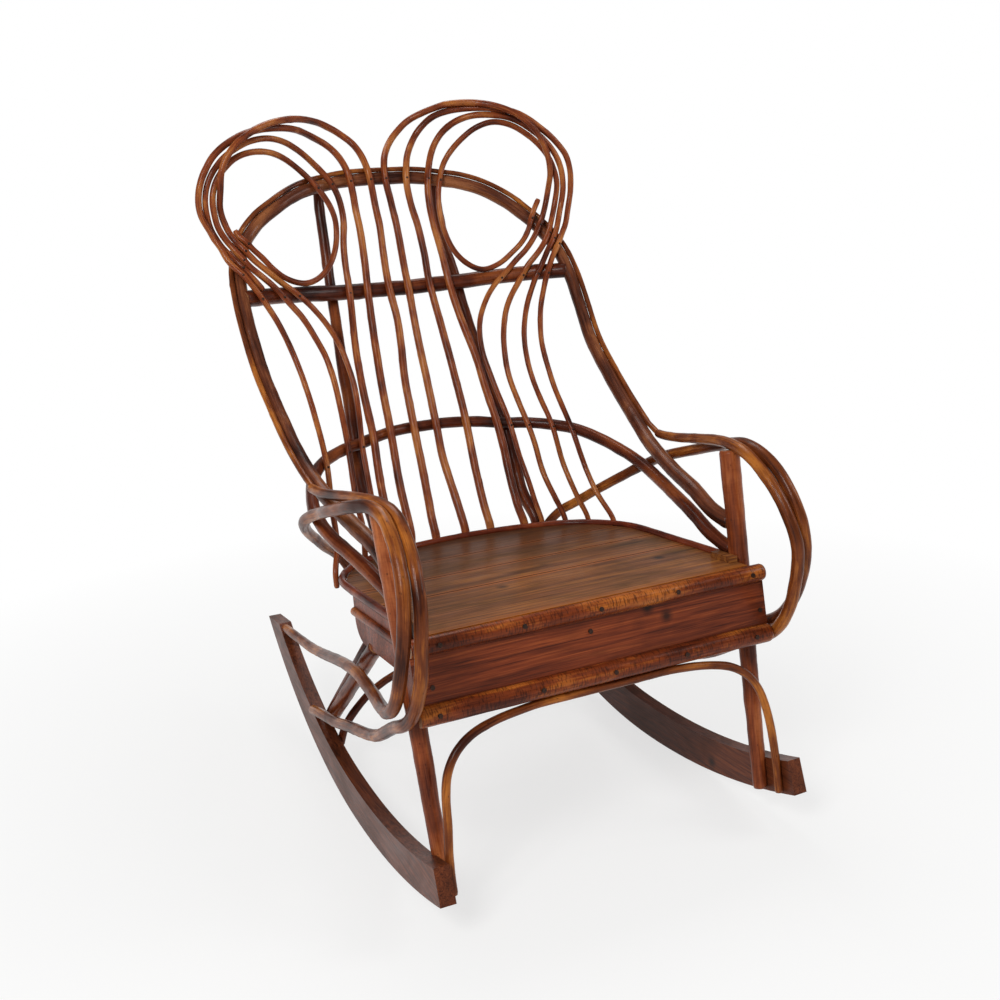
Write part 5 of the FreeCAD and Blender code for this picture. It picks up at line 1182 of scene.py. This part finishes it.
leg = straight(
    np.array([runner_inside(LEG_Y), LEG_Y, runner_top(LEG_Y) - LEG_BITE * LEG_RADIUS]),
    on_seat(SEAT_HALF_WIDTH - 8, LEG_TOP,
            -SEAT_THICKNESS - SIDE_BOARD_HEIGHT + LEG_BITE * LEG_RADIUS))
strut = straight(
    np.array([runner_inside(STRUT_Y) - (STRUT_RADIUS + TWIG_GAP), STRUT_Y,
              runner_top(STRUT_Y) - STRUT_DOWN * RUNNER_HEIGHT]),
    on_seat(SEAT_HALF_WIDTH - SIDE_BOARD_THICKNESS - 1.4 * STRUT_RADIUS, STRUT_TOP,
            -SEAT_THICKNESS - 0.55 * SIDE_BOARD_HEIGHT))
for hand, turned in (("right", np.array), ("left", mirrored)):
    stick("arm_inner_" + hand, turned(inner_route), ARM_RADIUS, BENT_TWIG,
          (0.8, 1.0, 1.05, 1.05, 1.0, 0.95), 20, 0.08)
    stick("arm_outer_" + hand, turned(outer_route), ARM_RADIUS, BENT_TWIG,
          (0.9, 1.0, 1.05, 1.05, 1.0, 0.9), 20, 0.08)
    stick("post_" + hand, turned(straight(POST_FOOT, POST_TOP)),
          POST_FOOT_RADIUS, POST_BARK, (1.0, 1.25, 1.43), 24, 0.05)
    stick("rear_leg_" + hand, turned(leg),
          LEG_RADIUS, DARK_STICK, (0.98, 1.0, 1.02), 22, 0.06)
    stick("rear_strut_" + hand, turned(strut),
          STRUT_RADIUS, DARK_STICK, (1.0, 1.0), 16, 0.08)
stick("seat_rim", rim_route, RIM_RADIUS, RIM_BARK, (1.0, 1.0), 16, 0.1)
stick("front_hoop", front_hoop_route, FRONT_HOOP_RADIUS, BENT_TWIG,
      (1.05, 1.0, 1.05), 18, 0.1)
stick("rear_hoop", rear_hoop_route, REAR_HOOP_RADIUS, DARK_STICK,
      (1.0, 0.95, 1.0), 18, 0.1)

# %% [markdown]
# ## Half-round rails
# The rails on the apron are a pole split down the middle, flat side in. Fine
# wrinkles run across their bark. The rail is made like a stick, with half
# rings; its place is read from the CAD node, measured along its own length,
# outwards and upwards.

# %% Rails on the apron and the side boards
LEAN = math.atan2(POST_TOP[1] - POST_FOOT[1], POST_TOP[2] - POST_FOOT[2])
LEAN_OUT = np.array([0, -math.cos(LEAN), math.sin(LEAN)])
SEAT_ALONG = np.array([0, math.cos(SEAT_TILT), -math.sin(SEAT_TILT)])
ACROSS = np.array([1.0, 0, 0])
RAIL_STEP, RAIL_ANGLES = 3, 15
RAIL_END_INSET, RAIL_END_LENGTH = 1.2, 1.5
RAIL_WAVE_MM, RAIL_EVEN, RAIL_WAVE, RAIL_RIPPLE, RAIL_FINER = 40, 0.985, 0.025, 0.012, 6
RAIL_SEED_SHIFT, RAIL_GRAIN_APART = Vector((2.1, 0, 0)), 900


def rail(node, along, out):
    """A split pole with its bark, in the place of a half-round solid."""
    seed = next(seeds)
    solid = np.array([vertex.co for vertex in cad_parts[node].data.vertices]) / MM
    upward = np.cross(along, out)
    reach = [((solid @ d).min(), (solid @ d).max()) for d in (along, out, upward)]
    radius = (reach[2][1] - reach[2][0]) / 2
    middle = out * reach[1][0] + upward * (reach[2][0] + radius)
    count = int((reach[0][1] - reach[0][0]) / RAIL_STEP)
    marks = np.linspace(reach[0][0], reach[0][1], count)
    angles = np.linspace(-math.pi / 2, math.pi / 2, RAIL_ANGLES)
    shift = seed * RAIL_SEED_SHIFT
    vertices, grain, faces = [], [], []
    for mark in marks:
        end = min(mark - marks[0], marks[-1] - mark)
        inset = RAIL_END_INSET * math.exp(-(end / RAIL_END_LENGTH) ** 2)
        for angle in angles:
            cos, sin = math.cos(angle), math.sin(angle)
            rim = Vector((cos, sin, mark / RAIL_WAVE_MM)) + shift
            wave = RAIL_WAVE * noise.noise(rim) + RAIL_RIPPLE * noise.noise(rim * RAIL_FINER)
            r = min((radius - inset) * (RAIL_EVEN + wave), radius)
            vertices.append(middle + along * mark + out * r * cos + upward * r * sin)
            grain.append((radius * cos, radius * sin, mark + seed * RAIL_GRAIN_APART))
    row = len(angles)
    for i in range(count - 1):
        here, there = i * row, (i + 1) * row
        for j in range(row - 1):
            faces.append((here + j, there + j, there + j + 1, here + j + 1))
        faces.append((here, here + row - 1, there + row - 1, there))
    flat_from = len(faces)
    faces.append(tuple(range(row)))
    faces.append(tuple(range((count - 1) * row, count * row))[::-1])
    obj = give_mesh(node + "_bark", vertices, faces, grain, [RAIL_BARK, SAWN_END], flat_from)
    dress(obj, node)
    print("%s: radius %.1f mm, %d rings" % (node, radius, count))


rail("rail_upper", ACROSS, LEAN_OUT)
rail("rail_lower", ACROSS, LEAN_OUT)
rail("side_rail_right", SEAT_ALONG, ACROSS)
rail("side_rail_left", SEAT_ALONG, -ACROSS)

# %% [markdown]
# ## Boards with worn edges
# The boards have their true shape in the CAD already. Only their edges are too
# sharp, so each node gets a small bevel as a modifier, as if by years of hands,
# and its finish.

# %% Boards and blocks
BEVEL_STEPS, SHARP_ANGLE = 3, math.radians(40)
BOARDS = {
    "seat_board_1": (seat_wood, 2.2), "seat_board_2": (seat_wood, 0.8),
    "seat_board_3": (seat_wood, 0.8), "seat_board_4": (seat_wood, 0.8),
    "seat_cleat_right": (seat_wood, 2.0), "seat_cleat_left": (seat_wood, 2.0),
    "apron_front": (apron_wood, 1.5), "side_apron_right": (apron_wood, 1.5),
    "side_apron_left": (apron_wood, 1.5), "seat_batten_right": (apron_wood, 1.0),
    "seat_batten_left": (apron_wood, 1.0), "runner_right": (runner_wood, 3.0),
    "runner_left": (runner_wood, 3.0), "apron_nails": (NAIL_IRON, 0.4),
}
for board_node, (wood, edge_mm) in BOARDS.items():
    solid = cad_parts[board_node]
    solid.data.materials.clear()
    solid.data.materials.append(wood)
    worn = solid.modifiers.new("worn_edges", "BEVEL")
    worn.width = edge_mm * MM
    worn.segments = BEVEL_STEPS
    worn.limit_method = "ANGLE"
    worn.angle_limit = SHARP_ANGLE
    worn.use_clamp_overlap = True
print("boards dressed:", len(BOARDS))

# %% [markdown]
# ## Nails where sticks cross
# Each rod is nailed to the bars behind it. The nail heads are small and dark
# and sit where two centre lines cross, on the front of the rod.

# %% Nail heads at the crossings
NAIL_RADIUS, NAIL_HEIGHT, NAIL_SIDES = 2.1, 0.9, 12
NAIL_RINGS = [(NAIL_RADIUS, 0.0), (NAIL_RADIUS, NAIL_HEIGHT * 0.6),
              (NAIL_RADIUS * 0.7, NAIL_HEIGHT), (0.0, NAIL_HEIGHT * 1.1)]
NAIL_REACH, IN_BARK, NAIL_OFF_AXIS = 25, 0.97, (0.2, 0.1, 0.97)


def nail_head(centre, out):
    """Points and faces of a slightly domed nail head."""
    out = unit(out)
    side = unit(np.cross(out, NAIL_OFF_AXIS))
    over = np.cross(out, side)
    points, quads = [], []
    for r, lift in NAIL_RINGS:
        for k in range(NAIL_SIDES):
            angle = math.tau * k / NAIL_SIDES
            round_it = side * math.cos(angle) + over * math.sin(angle)
            points.append(centre + out * lift + round_it * r)
    for i in range(len(NAIL_RINGS) - 1):
        here, there = i * NAIL_SIDES, (i + 1) * NAIL_SIDES
        for k in range(NAIL_SIDES):
            following = (k + 1) % NAIL_SIDES
            quads.append((here + k, here + following, there + following, there + k))
    return points, quads


nail_points, nail_faces = [], []
for rods, sign in ((right_rods, 1), (left_rods, -1)):
    for rod, bar in itertools.product(rods, (bow_route, bar_route, mid_route)):
        for _, here, there, _ in crossings(rod, bar, FRONT):
            if np.linalg.norm(here - there) < NAIL_REACH and here[1] < there[1]:
                spot = here - np.array([0, ROD_RADIUS * IN_BARK, 0])
                points, quads = nail_head(spot * (sign, 1, 1), FRONT)
                nail_faces += [tuple(k + len(nail_points) for k in quad) for quad in quads]
                nail_points += points
joint_nails = give_mesh("joint_nails", nail_points, nail_faces, nail_points, [NAIL_IRON])
dress(joint_nails, None)
print("nails at crossings:", len(nail_points) // (len(NAIL_RINGS) * NAIL_SIDES))

# %% [markdown]
# ## Floor
# The chair stands on a pale paper floor in a studio. Seen by the camera, or
# mirrored in the varnish, the paper is plain white far from the chair, so that
# the picture has a white ground; close to the chair it stays partly a lit
# surface and keeps the soft shadow.

# %% Floor
FLOOR_RADIUS, FLOOR_SIDES = 8, 64
FLOOR_COLOUR, FLOOR_ROUGHNESS = "#F2F2F0", 0.9
WHITE_FROM, WHITE_TO, WHITE_NEAR = 0.5, 1.5, 0.7
WHITE = (1, 1, 1, 1)
floor_mesh = bpy.data.meshes.new("studio_floor")
floor_angles = [math.tau * k / FLOOR_SIDES for k in range(FLOOR_SIDES)]
floor_mesh.from_pydata([(FLOOR_RADIUS * math.cos(angle), FLOOR_RADIUS * math.sin(angle), 0)
                        for angle in floor_angles], [], [tuple(range(FLOOR_SIDES))])
floor = bpy.data.objects.new("studio_floor", floor_mesh)
bpy.context.scene.collection.objects.link(floor)
FLOOR_PAPER, floor_tree, floor_shader = finish("white_studio_paper", FLOOR_ROUGHNESS)
floor_shader.inputs["Base Color"].default_value = linear(FLOOR_COLOUR)
floor_place = add(floor_tree, "ShaderNodeTexCoord").outputs["Object"]
distance = add(floor_tree, "ShaderNodeVectorMath", [floor_place],
               operation="LENGTH").outputs["Value"]
far = add(floor_tree, "ShaderNodeMapRange", [
    distance, WHITE_FROM, WHITE_TO, WHITE_NEAR, 1.0]).outputs[0]

floor_rays = add(floor_tree, "ShaderNodeLightPath")
seen = 0.0
for kind in ("Is Camera Ray", "Is Glossy Ray", "Is Transmission Ray"):
    seen = add(floor_tree, "ShaderNodeMath", [seen, floor_rays.outputs[kind]],
               operation="MAXIMUM").outputs[0]
seen = add(floor_tree, "ShaderNodeMath", [seen, far], operation="MULTIPLY").outputs[0]
white = add(floor_tree, "ShaderNodeEmission", {"Color": WHITE, "Strength": 1.0}).outputs[0]
both = add(floor_tree, "ShaderNodeMixShader", [seen, floor_shader.outputs[0], white]).outputs[0]
floor_tree.links.new(both, floor_tree.nodes["Material Output"].inputs[0])
floor_mesh.materials.append(FLOOR_PAPER)
print("floor of %d m radius" % FLOOR_RADIUS)

# %% [markdown]
# ## The room
# The room lights the chair evenly and dimly, and looks white to the camera. What
# the varnish mirrors of it has two parts: white paper that hangs down to the
# floor and ends some nine degrees above the horizon, and the dim studio above.
# A room that is white all over would lay a milky veil on every stick.

# %% Room
ROOM_STRENGTH = 0.24
PAPER_FADES = (0.1, 0.16)
world = bpy.data.worlds.new("studio_room")
bpy.context.scene.world = world
world.use_nodes = True
room = world.node_tree
room_rays = add(room, "ShaderNodeLightPath")
sky = add(room, "ShaderNodeSeparateXYZ", [add(room, "ShaderNodeTexCoord").outputs["Generated"]])
paper = add(room, "ShaderNodeMapRange", [sky.outputs["Z"], *PAPER_FADES, 1.0, 0.0]).outputs[0]
room_seen = add(room, "ShaderNodeMath", [
    room_rays.outputs["Is Glossy Ray"], room_rays.outputs["Is Transmission Ray"]],
    operation="MAXIMUM").outputs[0]
room_seen = add(room, "ShaderNodeMath", [room_seen, paper], operation="MULTIPLY").outputs[0]
room_seen = add(room, "ShaderNodeMath", [room_seen, room_rays.outputs["Is Camera Ray"]],
                operation="MAXIMUM").outputs[0]
room_light = room.nodes["Background"]
room_light.inputs["Color"].default_value = WHITE
room_light.inputs["Strength"].default_value = ROOM_STRENGTH
room_white = add(room, "ShaderNodeBackground", {"Color": WHITE, "Strength": 1.0}).outputs[0]
room_both = add(room, "ShaderNodeMixShader", [
    room_seen, room_light.outputs[0], room_white]).outputs[0]
room.links.new(room_both, room.nodes["World Output"].inputs[0])
print("room strength:", ROOM_STRENGTH)

# %% [markdown]
# ## Lamps
# A large soft box from the upper left gives the shape of the sticks, a weaker
# one from the right opens the shadows, and one above the back lights the rims.
# A soft box is a square area lamp: its size, not its power, makes it soft.

# %% Soft boxes
def soft_box(name, place, aim, width, power):
    """A square area lamp at a place, turned to what it lights."""
    lamp = bpy.data.lights.new(name, "AREA")
    lamp.shape = "SQUARE"
    lamp.size = width
    lamp.energy = power
    obj = bpy.data.objects.new(name, lamp)
    bpy.context.scene.collection.objects.link(obj)
    obj.location = place
    obj.rotation_euler = (Vector(aim) - Vector(place)).to_track_quat("-Z", "Y").to_euler()
    print("%s: %.1f m wide, %d W" % (name, width, power))


soft_box("soft_box_left", (-1.9, -1.7, 2.3), (0, 0, 0.5), 1.1, 54)
soft_box("soft_box_right", (2.0, -1.2, 1.9), (0, 0, 0.5), 1.0, 19)
soft_box("soft_box_top", (0.2, 1.2, 2.7), (0, 0.1, 0.5), 1.3, 22)

# %% [markdown]
# ## Camera
# The camera stands at the left front, as high as the top of the outer bow, and
# looks down at the chair as the photograph does. The lens is a normal one.

# %% Camera
SENSOR_MM, LENS_MM = 36.0, 43.2
VIEW_RIGHT = (0.90176, -0.42945, -0.04893)
VIEW_UP = (0.1573, 0.2207, 0.9626)
VIEW_BACK = (-0.40258, -0.87572, 0.26655)
VIEW_FROM = (-0.741, -1.662, 0.950)
camera = bpy.data.cameras.new("camera")
camera.sensor_width = SENSOR_MM
camera.lens = LENS_MM
camera_object = bpy.data.objects.new("camera", camera)
bpy.context.scene.collection.objects.link(camera_object)
turn = Matrix([VIEW_RIGHT, VIEW_UP, VIEW_BACK]).transposed().to_4x4()
camera_object.matrix_world = Matrix.Translation(VIEW_FROM) @ turn
bpy.context.scene.camera = camera_object
bpy.context.scene.view_settings.view_transform = "Standard"
print("camera at", VIEW_FROM, "with a lens of", LENS_MM, "mm")
